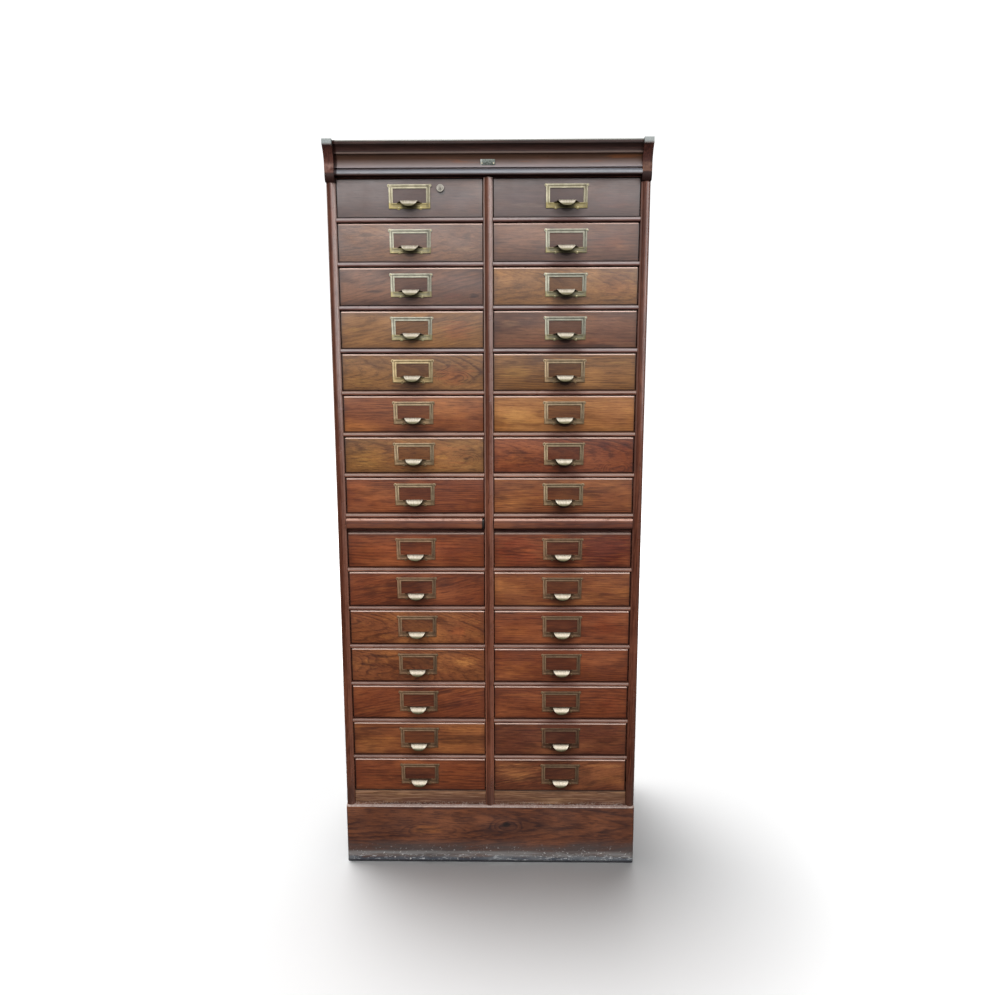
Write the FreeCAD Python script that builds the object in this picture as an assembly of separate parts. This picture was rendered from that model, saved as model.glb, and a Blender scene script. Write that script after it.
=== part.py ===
import FreeCAD, Part
import math
import os
from FreeCAD import Vector

# A tall oak archive cabinet: two columns of shallow drawers with brass label pulls,
# a pair of pull-out writing slides at waist height, a moulded cornice and a plinth.
#
# Millimetres. X runs to the right, Y to the back and Z up. The origin is the middle
# of the bounding box on the floor. Depths are given as distances ahead of the
# drawer faces, so a place inside the cabinet is negative.

# Carcass
body_width = 764.0
body_depth = 430.0
side_thickness = 22.5
divider_thickness = 23.0
nose_projection = 9.0
base_thickness = 18.0
top_thickness = 19.0
back_thickness = 6.5
back_rebate = 8.0

# Drawer openings, counted from the top
rows_above_slides = 8
rows_below_slides = 7
opening_height = 89.6
rail_thickness = 12.0
rail_depth = 20.0
runner_width = 18.0

# Plinth and the rail over it
plinth_height = 160.0
plinth_projection = 15.0
plinth_thickness = 20.0
plinth_corner_radius = 6.0
plinth_edge_radius = 3.0
plinth_back_thickness = 18.0
plinth_block_size = 35.0
plinth_block_rise = 8.0
bottom_rail_height = 38.0

# Cornice moulding, from its top down
nosing_projection = 30.0
nosing_height = 10.0
nosing_radius = 6.0
soffit_lip = 2.0
soffit_height = 15.0
soffit_sag = 2.5
fillet_projection = 18.5
fillet_height = 4.0
cove_projection = 14.5
cove_height = 29.5
cove_sag = 6.0
quirk_projection = 9.5
quirk_height = 3.0
ovolo_projection = 16.0
ovolo_height = 14.5
ovolo_sag = 4.5
moulding_reveal = 2.5

# End blocks of the cornice
block_rise = 1.0
block_projection = 36.0
block_face_height = 14.0
block_step = 1.5
block_cyma_sag = 3.0
block_belly_projection = 17.0
block_belly_height = 20.0
block_belly_undercut = 1.5
block_belly_sag = 0.8
block_foot_height = 20.0
block_foot_sag = 2.0
block_foot_lip = 1.5
block_drop = 13.0

# Blank badge on the cove
badge_width = 34.0
badge_thickness = 1.0
badge_foot = 0.5
badge_height = 17.0
badge_pin_diameter = 1.6
badge_pin_head = 3.0
badge_pin_head_height = 0.7
badge_pin_inset = 3.5
badge_pin_length = 6.0

# Drawers
front_thickness = 19.0
front_side_gap = 1.8
front_gap = 0.8
drawer_wall = 10.0
drawer_side_height = 86.0
drawer_bottom_thickness = 5.0
drawer_bottom_rise = 6.0
drawer_rear_gap = 3.0
running_gap = 0.3

# Brass label pull
label_width = 98.0
label_height = 55.0
label_rise = 3.0
label_side_bar = 9.5
label_top_bar = 9.4
label_bottom_bar = 12.7
label_plate = 1.4
outer_bead_width = 3.2
outer_bead_height = 2.8
inner_bead_width = 3.0
inner_bead_height = 2.2
lug_diameter = 8.0
lug_thickness = 2.4
lug_inset_x = 0.5
lug_inset_z = 3.0
lower_lug_x = 26.0
lower_lug_z = 1.5
tongue_thickness = 1.6
tongue_root_width = 64.0
tongue_reach = 15.0
tongue_climb = 4.5
lip_top_width = 43.0
lip_tip_width = 20.0
lip_reach = 11.0
lip_drop = 15.0
lip_side_bow = 1.4
lip_tip_bow = 1.2
pin_diameter = 1.8
pin_head_diameter = 4.6
pin_head_top = 2.6
pin_head_height = 1.1
pin_length = 14.0
pin_hole_clearance = 0.1

# Writing slides
slide_thickness = 17.0
slide_top_gap = 1.0
slide_side_gap = 1.0
slide_length = 384.0
slide_lip_height = 25.0
slide_lip_projection = 12.5
slide_lip_depth = 24.5
slide_lip_radius = 5.0
support_rail_height = 19.8
support_rail_gap = 2.0

# Lock of the top left drawer
lock_offset = 73.0
lock_drop = 22.5
barrel_diameter = 17.5
barrel_projection = 5.0
lock_hole_gap = 0.2
case_width = 38.0
case_height = 32.0
case_depth = 10.0
case_cover = 6.5
flange_width = 58.0
flange_thickness = 1.6
plug_diameter = 11.6
plug_gap = 0.15
keyway_width = 1.8
keyway_height = 7.0
keyway_depth = 6.0
bolt_width = 16.0
bolt_thickness = 3.0
bolt_height = 26.0
bolt_gap = 0.3
bolt_recess = 0.5
crank_radius = 3.5
crank_diameter = 2.4
crank_start = -45.0
mortise_depth = 8.0
mortise_gap = 0.9
lock_screw_diameter = 2.4
lock_screw_head = 4.8
lock_screw_head_height = 1.2
lock_screw_length = 9.0
lock_screw_inset = 5.0

# How far a cutting shape runs past the face that it opens, and how near counts as touching
overcut = 1.0
touching = 0.01

# Derived sizes
opening_width = (body_width - 2 * side_thickness - divider_thickness) / 2
column_x = (opening_width + divider_thickness) / 2
columns = (("left", -column_x), ("right", column_x))
rows = rows_above_slides + rows_below_slides
pitch = opening_height + rail_thickness
inner_half = body_width / 2 - side_thickness

nose_radius = side_thickness / 2
nose_start = nose_projection - nose_radius
divider_nose_start = nose_projection - divider_thickness / 2
back_plane = nose_projection - body_depth
panel_plane = back_plane + back_thickness
plinth_back_plane = plinth_projection - plinth_thickness

first_sill = plinth_height + bottom_rail_height
base_underside = first_sill - base_thickness
slot_height = running_gap + slide_thickness + slide_top_gap
slide_zone = support_rail_height + slot_height
openings_top = first_sill + rows * pitch - rail_thickness + slide_zone

moulding_height = (nosing_height + soffit_height + fillet_height + cove_height
                   + quirk_height + ovolo_height)
moulding_bottom = openings_top + moulding_reveal
moulding_top = moulding_bottom + moulding_height
top_board_underside = moulding_top - top_thickness
total_height = moulding_top + block_rise
block_bottom = moulding_bottom - block_drop

front_limit = max(block_projection, nosing_projection, plinth_projection,
                  tongue_reach + lip_reach, slide_lip_projection)
face_y = (front_limit + back_plane) / 2


def depth(ahead):
    """The Y of a place that lies so far ahead of the drawer faces."""
    return face_y - ahead


def box(x0, x1, behind, ahead, z0, z1):
    """A board between two X, two depths and two heights."""
    return Part.makeBox(x1 - x0, ahead - behind, z1 - z0, Vector(x0, depth(ahead), z0))


def post(x, ahead, radius, z0, z1):
    """An upright round."""
    return Part.makeCylinder(radius, z1 - z0, Vector(x, depth(ahead), z0))


def dowel(x, z, radius, behind, ahead):
    """A round that runs from front to back."""
    return Part.makeCylinder(radius, ahead - behind, Vector(x, depth(ahead), z), Vector(0, 1, 0))


def bowed(start, end, sag):
    """The middle of an arc between two outline points, sagging to the left of the way."""
    run = (end[0] - start[0], end[1] - start[1])
    length = math.hypot(*run)
    return ((start[0] + end[0]) / 2 - sag * run[1] / length,
            (start[1] + end[1]) / 2 + sag * run[0] / length)


def quarter_sag(radius):
    """How far the middle of a quarter round stands off its chord."""
    return radius - radius * math.sqrt(0.5)


def outline(place, start, steps):
    """A face from straight steps (point) and arcs (point, sag); place maps a pair to space."""
    edges = []
    here = start
    for step in steps + [start]:
        curved = isinstance(step[0], tuple)
        there = step[0] if curved else step
        if curved:
            middle = bowed(here, there, step[1])
            edges.append(Part.Arc(place(here), place(middle), place(there)).toShape())
        else:
            edges.append(Part.makeLine(place(here), place(there)))
        here = there
    return Part.Face(Part.Wire(edges))


def lath(x0, x1, start, steps):
    """A length of section, drawn as (ahead, height) and run along X."""
    def place(pair):
        return Vector(x0, depth(pair[0]), pair[1])
    return outline(place, start, steps).extrude(Vector(x1 - x0, 0, 0))


def plate(behind, ahead, start, steps):
    """A plate cut to an outline, drawn as (X, height) and run from front to back."""
    def place(pair):
        return Vector(pair[0], depth(ahead), pair[1])
    return outline(place, start, steps).extrude(Vector(0, ahead - behind, 0))


def mirrored(shape):
    """The same piece on the other side of the cabinet."""
    return shape.mirror(Vector(0, 0, 0), Vector(1, 0, 0))


def moved(shapes, x, z):
    """Copies of pieces drawn about the origin, set at their place."""
    return [shape.translated(Vector(x, 0, z)) for shape in shapes]


def save(name, *solids):
    """Write one named piece, or a group of like pieces."""
    shape = solids[0] if len(solids) == 1 else Part.makeCompound(list(solids))
    shape.exportStep("parts/" + name + ".step")


def opening_sill(row):
    """Height of the sill of a drawer opening; row 1 is the top one."""
    sill = first_sill + (rows - row) * pitch
    return sill + slide_zone if row <= rows_above_slides else sill


# Carcass boards
def left_side():
    """Left side board with a bullnose front, cut back for the plinth, block and back."""
    outer = -body_width / 2
    inner = -inner_half
    board = box(outer, inner, back_plane, nose_start, 0, total_height)
    nose = post((outer + inner) / 2, nose_start, nose_radius, plinth_height, block_bottom)
    plinth_seat = box(outer, inner, plinth_back_plane, plinth_projection, 0, plinth_height)
    rebate = box(inner - back_rebate, inner, back_plane, panel_plane, base_underside, moulding_top)
    return board.fuse(nose).removeSplitter().cut([plinth_seat, rebate])


def centre_divider():
    """Divider between the columns; its nose runs down past the bottom rails."""
    half = divider_thickness / 2
    web = box(-half, half, panel_plane, -rail_depth, first_sill, top_board_underside)
    stile = box(-half, half, -rail_depth, divider_nose_start, plinth_height, openings_top)
    nose = post(0, divider_nose_start, half, plinth_height, openings_top)
    return web.fuse([stile, nose]).removeSplitter()


def base_board():
    return box(-inner_half, inner_half, panel_plane, -rail_depth, base_underside, first_sill)


def top_board():
    return box(-inner_half, inner_half, panel_plane, -rail_depth,
               top_board_underside, moulding_top)


def back_boards():
    """Two thin boards in the rebates of the sides, meeting on the divider."""
    edge = inner_half + back_rebate
    left = box(-edge, 0, back_plane, panel_plane, base_underside, moulding_top)
    right = box(0, edge, back_plane, panel_plane, base_underside, moulding_top)
    return [left, right]


def top_rail():
    """Rail over the top drawers, with the mortise for the lock's bolt."""
    rail = box(-inner_half, inner_half, -rail_depth, 0, openings_top, moulding_top)
    half = bolt_width / 2 + mortise_gap
    mortise = box(lock_x - half, lock_x + half,
                  bolt_plane - bolt_thickness - mortise_gap, bolt_plane + mortise_gap,
                  openings_top - overcut, openings_top + mortise_depth)
    return rail.cut(mortise)


def bottom_rails():
    half = divider_thickness / 2
    left = box(-inner_half, -half, -rail_depth, 0, plinth_height, first_sill)
    return [left, mirrored(left)]


# Plinth
def plinth_front():
    """Front board of the plinth with rounded corners and an eased top edge."""
    half = body_width / 2
    shoulder = plinth_projection - plinth_corner_radius
    sag = -quarter_sag(plinth_corner_radius)

    def place(pair):
        return Vector(pair[0], depth(pair[1]), 0)

    board = outline(place, (-half, plinth_back_plane), [
        (half, plinth_back_plane),
        (half, shoulder),
        ((half - plinth_corner_radius, plinth_projection), sag),
        (-half + plinth_corner_radius, plinth_projection),
        ((-half, shoulder), sag),
    ]).extrude(Vector(0, 0, plinth_height))
    eased = [edge for edge in board.Edges
             if min(vertex.Z for vertex in edge.Vertexes) > plinth_height - touching
             and max(vertex.Y for vertex in edge.Vertexes) < depth(shoulder) + touching]
    return board.makeFillet(plinth_edge_radius, eased)


def plinth_back():
    return box(-inner_half, inner_half, back_plane, back_plane + plinth_back_thickness,
               0, base_underside)


def plinth_blocks():
    """Glue blocks in the corners behind the plinth front."""
    block = box(-inner_half, -inner_half + plinth_block_size,
                plinth_back_plane - plinth_block_size, plinth_back_plane,
                plinth_block_rise, plinth_height)
    return [block, mirrored(block)]


# Rails and runners
def bead_rail(x0, x1, top):
    """Rail between two drawers, with a half-round front."""
    bottom = top - rail_thickness
    bead = -rail_thickness / 2
    steps = [(0, bottom), ((0, top), bead), (-rail_depth, top)]
    return lath(x0, x1, (-rail_depth, bottom), steps)


def bead_rails(x):
    half = opening_width / 2
    return [bead_rail(x - half, x + half, opening_sill(row)) for row in range(1, rows)]


def runner_pair(x, ahead, top):
    """Two strips along the sides of an opening, from a rail to the back."""
    half = opening_width / 2
    z0 = top - rail_thickness
    near = box(x - half, x - half + runner_width, panel_plane, ahead, z0, top)
    far = box(x + half - runner_width, x + half, panel_plane, ahead, z0, top)
    return [near, far]


def drawer_runners(x):
    """Strips under the drawers, and the pair over the top drawer that stops it from tipping."""
    tops = [openings_top + rail_thickness] + [opening_sill(row) for row in range(1, rows)]
    pairs = [runner_pair(x, -rail_depth, top) for top in tops]
    return [strip for pair in pairs for strip in pair]


# Writing slides
slot_bottom = opening_sill(rows_above_slides + 1) + opening_height + support_rail_height
slide_back = slide_lip_projection - slide_lip_depth
support_front = slide_back - support_rail_gap
support_back = support_front - rail_depth


def slide_support_rails():
    half = opening_width / 2
    z0 = slot_bottom - support_rail_height
    return [box(x - half, x + half, support_back, support_front, z0, slot_bottom)
            for _, x in columns]


def slide_runners():
    return [strip for _, x in columns for strip in runner_pair(x, support_back, slot_bottom)]


def slide_board(x):
    half = opening_width / 2 - slide_side_gap
    z0 = slot_bottom + running_gap
    return box(x - half, x + half, slide_back - slide_length, slide_back, z0, z0 + slide_thickness)


def slide_lip(x):
    """Deeper edge strip of a slide, rounded on its front edges."""
    half = opening_width / 2 - slide_side_gap
    top = slot_bottom + running_gap + slide_thickness
    bottom = top - slide_lip_height
    radius = slide_lip_radius
    sag = -quarter_sag(radius)
    steps = [
        (slide_lip_projection - radius, bottom),
        ((slide_lip_projection, bottom + radius), sag),
        (slide_lip_projection, top - radius),
        ((slide_lip_projection - radius, top), sag),
        (slide_back, top),
    ]
    return lath(x - half, x + half, (slide_back, bottom), steps)


# Cornice
def cornice_moulding():
    """Moulding planted on the top rail between the end blocks."""
    nosing_foot = moulding_top - nosing_height
    fillet_top = nosing_foot - soffit_height
    cove_top = fillet_top - fillet_height
    cove_foot = cove_top - cove_height
    ovolo_top = cove_foot - quirk_height
    round_sag = quarter_sag(nosing_radius)
    steps = [
        (nosing_projection - nosing_radius, moulding_top),
        ((nosing_projection, moulding_top - nosing_radius), round_sag),
        (nosing_projection, nosing_foot),
        (nosing_projection - soffit_lip, nosing_foot),
        ((fillet_projection, fillet_top), -soffit_sag),
        (fillet_projection, cove_top),
        (cove_projection, cove_top),
        ((cove_projection, cove_foot), -cove_sag),
        (quirk_projection, cove_foot),
        (quirk_projection, ovolo_top),
        ((ovolo_projection, moulding_bottom), ovolo_sag),
        (0, moulding_bottom),
    ]
    return lath(-inner_half, inner_half, (0, moulding_top), steps)


def left_end_block():
    """Shaped block on the front of a side board, standing on the end of its bullnose."""
    outer = -body_width / 2
    inner = -inner_half
    step_z = total_height - block_face_height
    belly_foot = block_bottom + block_foot_height
    belly_top = belly_foot + block_belly_height
    belly_foot_ahead = block_belly_projection - block_belly_undercut
    steps = [
        (block_projection, total_height),
        (block_projection, step_z),
        (block_projection - block_step, step_z),
        ((block_belly_projection, belly_top), -block_cyma_sag),
        ((belly_foot_ahead, belly_foot), block_belly_sag),
        ((nose_projection + block_foot_lip, block_bottom), block_foot_sag),
        (nose_start, block_bottom),
    ]
    return lath(outer, inner, (nose_start, total_height), steps)


# Badge
cove_foot_z = moulding_bottom + ovolo_height + quirk_height
cove_bulge = (cove_height ** 2 / 4 + cove_sag ** 2) / (2 * cove_sag)
cove_axis_ahead = cove_projection - cove_sag + cove_bulge
cove_axis_z = cove_foot_z + cove_height / 2


def cove_ahead(z):
    """How far ahead of the drawer faces the cove's surface lies at a height."""
    return cove_axis_ahead - math.sqrt(cove_bulge ** 2 - (z - cove_axis_z) ** 2)


badge_z0 = cove_foot_z + badge_foot
badge_z1 = badge_z0 + badge_height
badge_lean = math.atan2(cove_ahead(badge_z0) - cove_ahead(badge_z1), badge_height)
badge_slant = badge_height / math.cos(badge_lean)


def tilted_to_badge(shape):
    """Lean a piece, drawn upright with its foot at the origin, onto the chord of the cove."""
    leaned = shape.copy()
    leaned.rotate(Vector(0, 0, 0), Vector(1, 0, 0), -math.degrees(badge_lean))
    return leaned.translated(Vector(0, depth(cove_ahead(badge_z0)), badge_z0))


def badge_pin_places():
    across = badge_width / 2 - badge_pin_inset
    return [(-across, badge_slant / 2), (across, badge_slant / 2)]


def badge_plate():
    sheet = Part.makeBox(badge_width, badge_thickness, badge_slant,
                         Vector(-badge_width / 2, -badge_thickness, 0))
    radius = badge_pin_diameter / 2 + pin_hole_clearance
    holes = [Part.makeCylinder(radius, badge_thickness + 2 * overcut,
                               Vector(x, -badge_thickness - overcut, z), Vector(0, 1, 0))
             for x, z in badge_pin_places()]
    return tilted_to_badge(sheet.cut(holes))


def badge_pins():
    pins = []
    for x, z in badge_pin_places():
        shank = Part.makeCylinder(badge_pin_diameter / 2, badge_pin_length,
                                  Vector(x, -badge_thickness, z), Vector(0, 1, 0))
        head = Part.makeCylinder(badge_pin_head / 2, badge_pin_head_height,
                                 Vector(x, -badge_thickness - badge_pin_head_height, z),
                                 Vector(0, 1, 0))
        pins.append(tilted_to_badge(shank.fuse(head)))
    return pins


def badge_pin_holes():
    """The room that the badge's pins take in the moulding."""
    radius = badge_pin_diameter / 2 + pin_hole_clearance
    return [tilted_to_badge(Part.makeCylinder(radius, badge_pin_length,
                                              Vector(x, -badge_thickness, z), Vector(0, 1, 0)))
            for x, z in badge_pin_places()]


# Drawer, drawn about the middle of its opening's sill
front_half = opening_width / 2 - front_side_gap
front_height = opening_height - 2 * front_gap
drawer_back_plane = panel_plane + drawer_rear_gap
label_z = front_gap + front_height / 2 + label_rise
label_bottom = label_z - label_height / 2
label_top = label_z + label_height / 2


def label_pin_places():
    """Centres of the four lugs of a label frame, as X and height."""
    upper_x = label_width / 2 - lug_inset_x
    upper_z = label_top - lug_inset_z
    lower_z = label_bottom + lower_lug_z
    return [(-upper_x, upper_z), (upper_x, upper_z), (-lower_lug_x, lower_z), (lower_lug_x, lower_z)]


def ring(half, z0, z1, width_side, width_bottom, width_top, height):
    """A flat four-sided frame lying on the drawer's face."""
    outer = box(-half, half, 0, height, z0, z1)
    hollow = box(-half + width_side, half - width_side, -overcut, height + overcut,
                 z0 + width_bottom, z1 - width_top)
    return outer.cut(hollow)


def tongue():
    """Finger pull: a bent tongue that leaves the lower bar, climbs and folds down."""
    root_z = label_bottom + label_bottom_bar
    bend = (tongue_reach, root_z + tongue_climb)
    tip = (tongue_reach + lip_reach, root_z + tongue_climb - lip_drop)
    half_root = tongue_root_width / 2
    half_top = lip_top_width / 2
    half_tip = lip_tip_width / 2
    lip_slope = math.hypot(lip_reach, lip_drop)
    inward = (-tongue_thickness * lip_drop / lip_slope, -tongue_thickness * lip_reach / lip_slope)
    inner_bend = (bend[0] - tongue_thickness, bend[1] - tongue_thickness)
    shelf = lath(-half_root, half_root, (0, root_z), [
        bend, inner_bend, (0, root_z - tongue_thickness)])

    plan_bottom = root_z - tongue_thickness - overcut

    def plan_place(pair):
        return Vector(pair[0], depth(pair[1]), plan_bottom)

    plan = outline(plan_place, (-half_root, 0), [
        (half_root, 0), (half_top, tongue_reach), (-half_top, tongue_reach)])
    shelf = shelf.common(plan.extrude(Vector(0, 0, bend[1] + overcut - plan_bottom)))
    lip = lath(-half_top, half_top, bend, [
        tip, (tip[0] + inward[0], tip[1] + inward[1]), inner_bend])
    front_view = plate(0, tip[0] + overcut, (-half_top, bend[1]), [
        ((-half_tip, tip[1] + lip_tip_bow), lip_side_bow),
        ((half_tip, tip[1] + lip_tip_bow), lip_tip_bow),
        ((half_top, bend[1]), lip_side_bow)])
    return shelf.fuse(lip.common(front_view)).removeSplitter()


def label_pull():
    """Stamped label frame with raised beads, four lugs and its finger tongue."""
    half = label_width / 2
    frame = ring(half, label_bottom, label_top, label_side_bar, label_bottom_bar, label_top_bar,
                 label_plate)
    outer = ring(half, label_bottom, label_top, outer_bead_width, outer_bead_width,
                 outer_bead_width, outer_bead_height)
    inner = ring(half - label_side_bar + inner_bead_width,
                 label_bottom + label_bottom_bar - inner_bead_width,
                 label_top - label_top_bar + inner_bead_width,
                 inner_bead_width, inner_bead_width, inner_bead_width, inner_bead_height)
    lugs = [dowel(x, z, lug_diameter / 2, 0, lug_thickness) for x, z in label_pin_places()]
    pull = frame.fuse([outer, inner, tongue()] + lugs)
    seats = [dowel(x, z, pin_head_diameter / 2 + pin_hole_clearance, lug_thickness,
                   lug_thickness + pin_head_height) for x, z in label_pin_places()]
    holes = [dowel(x, z, pin_diameter / 2 + pin_hole_clearance, -overcut, lug_thickness + overcut)
             for x, z in label_pin_places()]
    return pull.cut(seats + holes).removeSplitter()


def label_pins():
    """Round-headed pins through the lugs into the drawer front."""
    pins = []
    for x, z in label_pin_places():
        shank = dowel(x, z, pin_diameter / 2, lug_thickness - pin_length, lug_thickness)
        head = Part.makeCone(pin_head_diameter / 2, pin_head_top / 2, pin_head_height,
                             Vector(x, depth(lug_thickness), z), Vector(0, -1, 0))
        pins.append(shank.fuse(head))
    return pins


def drawer_front():
    """Drawer front with blind holes for the pins of the label pull."""
    board = box(-front_half, front_half, -front_thickness, 0, front_gap, front_gap + front_height)
    radius = pin_diameter / 2 + pin_hole_clearance
    holes = [dowel(x, z, radius, lug_thickness - pin_length - pin_hole_clearance, overcut)
             for x, z in label_pin_places()]
    return board.cut(holes)


def drawer_walls():
    """Two sides, the back and the bottom panel of a drawer."""
    z0 = running_gap
    inner = front_half - drawer_wall
    side = box(-front_half, -inner, drawer_back_plane, -front_thickness,
               z0, z0 + drawer_side_height)
    bottom_z = z0 + drawer_bottom_rise
    back = box(-inner, inner, drawer_back_plane, drawer_back_plane + drawer_wall,
               bottom_z, z0 + drawer_side_height)
    bottom = box(-inner, inner, drawer_back_plane + drawer_wall, -front_thickness,
                 bottom_z, bottom_z + drawer_bottom_thickness)
    return [side, mirrored(side), back, bottom]


# Lock, drawn in place on the top left drawer
top_sill = opening_sill(1)
lock_x = -column_x + lock_offset
lock_z = top_sill + front_gap + front_height - lock_drop
case_top = lock_z + lock_drop - case_cover
case_bottom = case_top - case_height
pocket_plane = case_depth - front_thickness
bolt_plane = pocket_plane - (case_depth - bolt_thickness) / 2
bolt_top = lock_z + lock_drop - bolt_recess
bolt_travel = 2 * crank_radius * math.sin(math.radians(-crank_start))


def crank_place():
    """Rest place of the crank pin on the back of the plug, as X and height."""
    angle = math.radians(crank_start)
    return (lock_x + crank_radius * math.cos(angle), lock_z + crank_radius * math.sin(angle))


def lock_case():
    """Cast case let into the back of the drawer front, with its barrel and flange."""
    half = case_width / 2
    body = box(lock_x - half, lock_x + half, -front_thickness, pocket_plane, case_bottom, case_top)
    flange = box(lock_x - flange_width / 2, lock_x + flange_width / 2,
                 -front_thickness - flange_thickness, -front_thickness, case_bottom, case_top)
    barrel = dowel(lock_x, lock_z, barrel_diameter / 2, pocket_plane, barrel_projection)
    bore = dowel(lock_x, lock_z, plug_diameter / 2 + plug_gap,
                 bolt_plane, barrel_projection + overcut)
    channel = box(lock_x - bolt_width / 2 - bolt_gap, lock_x + bolt_width / 2 + bolt_gap,
                  bolt_plane - bolt_thickness - bolt_gap, bolt_plane + bolt_gap,
                  bolt_top - bolt_height - bolt_gap, case_top + overcut)
    holes = [dowel(x, z, lock_screw_diameter / 2 + pin_hole_clearance,
                   -front_thickness - flange_thickness - overcut, -front_thickness + overcut)
             for x, z in lock_screw_places()]
    return body.fuse([flange, barrel]).removeSplitter().cut([bore, channel] + holes)


def lock_plug():
    """Turning plug with its keyway in front and a crank pin behind."""
    plug_back = bolt_plane + bolt_gap + plug_gap
    plug = dowel(lock_x, lock_z, plug_diameter / 2, plug_back, barrel_projection)
    keyway = box(lock_x - keyway_width / 2, lock_x + keyway_width / 2,
                 barrel_projection - keyway_depth, barrel_projection + overcut,
                 lock_z - keyway_height / 2, lock_z + keyway_height / 2)
    x, z = crank_place()
    crank = dowel(x, z, crank_diameter / 2, bolt_plane - bolt_thickness, plug_back + overcut)
    return plug.fuse(crank).cut(keyway)


def lock_bolt():
    """Bolt that the crank pin lifts; its slot lets the pin swing sideways."""
    half = bolt_width / 2
    bolt = box(lock_x - half, lock_x + half, bolt_plane - bolt_thickness, bolt_plane,
               bolt_top - bolt_height, bolt_top)
    x, z = crank_place()
    reach = crank_diameter / 2 + bolt_gap
    slot = box(x - reach, lock_x + crank_radius + reach,
               bolt_plane - bolt_thickness - overcut, bolt_plane + overcut, z - reach, z + reach)
    return bolt.cut(slot)


def lock_screw_places():
    """Centres of the flange screws, as X and height."""
    across = flange_width / 2 - lock_screw_inset
    heights = (case_bottom + lock_screw_inset, case_top - lock_screw_inset)
    return [(lock_x + side * across, z) for side in (-1, 1) for z in heights]


def lock_screws():
    screws = []
    seat = -front_thickness - flange_thickness
    for x, z in lock_screw_places():
        shank = dowel(x, z, lock_screw_diameter / 2, seat, seat + lock_screw_length)
        head = dowel(x, z, lock_screw_head / 2, seat - lock_screw_head_height, seat)
        screws.append(shank.fuse(head))
    return screws


def lock_room():
    """What the lock takes out of the drawer front."""
    half = case_width / 2
    pocket = box(lock_x - half, lock_x + half, -front_thickness - overcut, pocket_plane,
                 case_bottom, case_top)
    hole = dowel(lock_x, lock_z, barrel_diameter / 2 + lock_hole_gap,
                 pocket_plane - overcut, overcut)
    slit = box(lock_x - bolt_width / 2 - bolt_gap, lock_x + bolt_width / 2 + bolt_gap,
               bolt_plane - bolt_thickness - bolt_gap, bolt_plane + bolt_gap,
               case_top - overcut, lock_z + lock_drop + overcut)
    radius = lock_screw_diameter / 2 + pin_hole_clearance
    seat = -front_thickness - flange_thickness
    screw_holes = [dowel(x, z, radius, -front_thickness - overcut,
                         seat + lock_screw_length + pin_hole_clearance)
                   for x, z in lock_screw_places()]
    return [pocket, hole, slit] + screw_holes


def build():
    """Make every piece and write it out."""
    os.makedirs("parts", exist_ok=True)

    side = left_side()
    save("side_left", side)
    save("side_right", mirrored(side))
    save("centre_divider", centre_divider())
    save("base_board", base_board())
    save("top_board", top_board())
    save("back_boards", *back_boards())
    save("top_rail", top_rail())
    save("bottom_rails", *bottom_rails())

    save("plinth_front", plinth_front())
    save("plinth_back", plinth_back())
    save("plinth_blocks", *plinth_blocks())

    for name, x in columns:
        save("bead_rails_" + name, *bead_rails(x))
        save("drawer_runners_" + name, *drawer_runners(x))
        save("writing_slide_" + name, slide_board(x))
        save("slide_lip_" + name, slide_lip(x))
    save("slide_support_rails", *slide_support_rails())
    save("slide_runners", *slide_runners())

    save("cornice_moulding", cornice_moulding().cut(badge_pin_holes()))
    block = left_end_block()
    save("cornice_end_left", block)
    save("cornice_end_right", mirrored(block))
    save("badge_plate", badge_plate())
    save("badge_pins", *badge_pins())

    save("lock_case", lock_case())
    save("lock_plug", lock_plug())
    save("lock_bolt", lock_bolt())
    save("lock_screws", *lock_screws())

    front = drawer_front()
    rest = drawer_walls() + [label_pull()] + label_pins()
    for name, x in columns:
        for row in range(1, rows + 1):
            pieces = moved([front] + rest, x, opening_sill(row))
            if name == "left" and row == 1:
                pieces[0] = pieces[0].cut(lock_room())
            save("drawer_%s_%02d" % (name, row), *pieces)


build()
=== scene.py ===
"""The looks of a tall oak archive cabinet with brass label pulls, in metres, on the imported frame."""
import contextlib
import math

import bpy
from mathutils import Matrix, Vector


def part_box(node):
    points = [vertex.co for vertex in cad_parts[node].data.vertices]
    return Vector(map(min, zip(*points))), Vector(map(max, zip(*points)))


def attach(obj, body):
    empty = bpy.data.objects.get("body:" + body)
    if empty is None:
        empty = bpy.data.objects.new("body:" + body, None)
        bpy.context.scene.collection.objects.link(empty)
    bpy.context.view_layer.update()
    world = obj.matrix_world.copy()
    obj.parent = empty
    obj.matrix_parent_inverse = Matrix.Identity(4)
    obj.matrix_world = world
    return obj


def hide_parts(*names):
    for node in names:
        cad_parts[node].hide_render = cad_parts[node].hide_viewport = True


MM = 0.001

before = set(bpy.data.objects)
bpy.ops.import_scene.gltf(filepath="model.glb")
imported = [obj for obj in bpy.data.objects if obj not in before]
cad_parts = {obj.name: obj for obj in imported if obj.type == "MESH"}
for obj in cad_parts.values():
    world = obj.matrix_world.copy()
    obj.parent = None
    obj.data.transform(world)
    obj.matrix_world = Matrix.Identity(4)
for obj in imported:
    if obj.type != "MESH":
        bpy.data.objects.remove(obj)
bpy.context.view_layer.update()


# Places and sizes taken from the frame
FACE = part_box("top_rail")[0].y
SIDE_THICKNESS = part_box("plinth_front")[1].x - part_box("top_rail")[1].x
NOSE_RADIUS = SIDE_THICKNESS / 2
NOSE_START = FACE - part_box("side_left")[0].y - NOSE_RADIUS
DIVIDER_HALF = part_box("centre_divider")[1].x
PLINTH_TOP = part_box("plinth_front")[1].z
BLOCK_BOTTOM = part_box("cornice_end_left")[0].z

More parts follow.
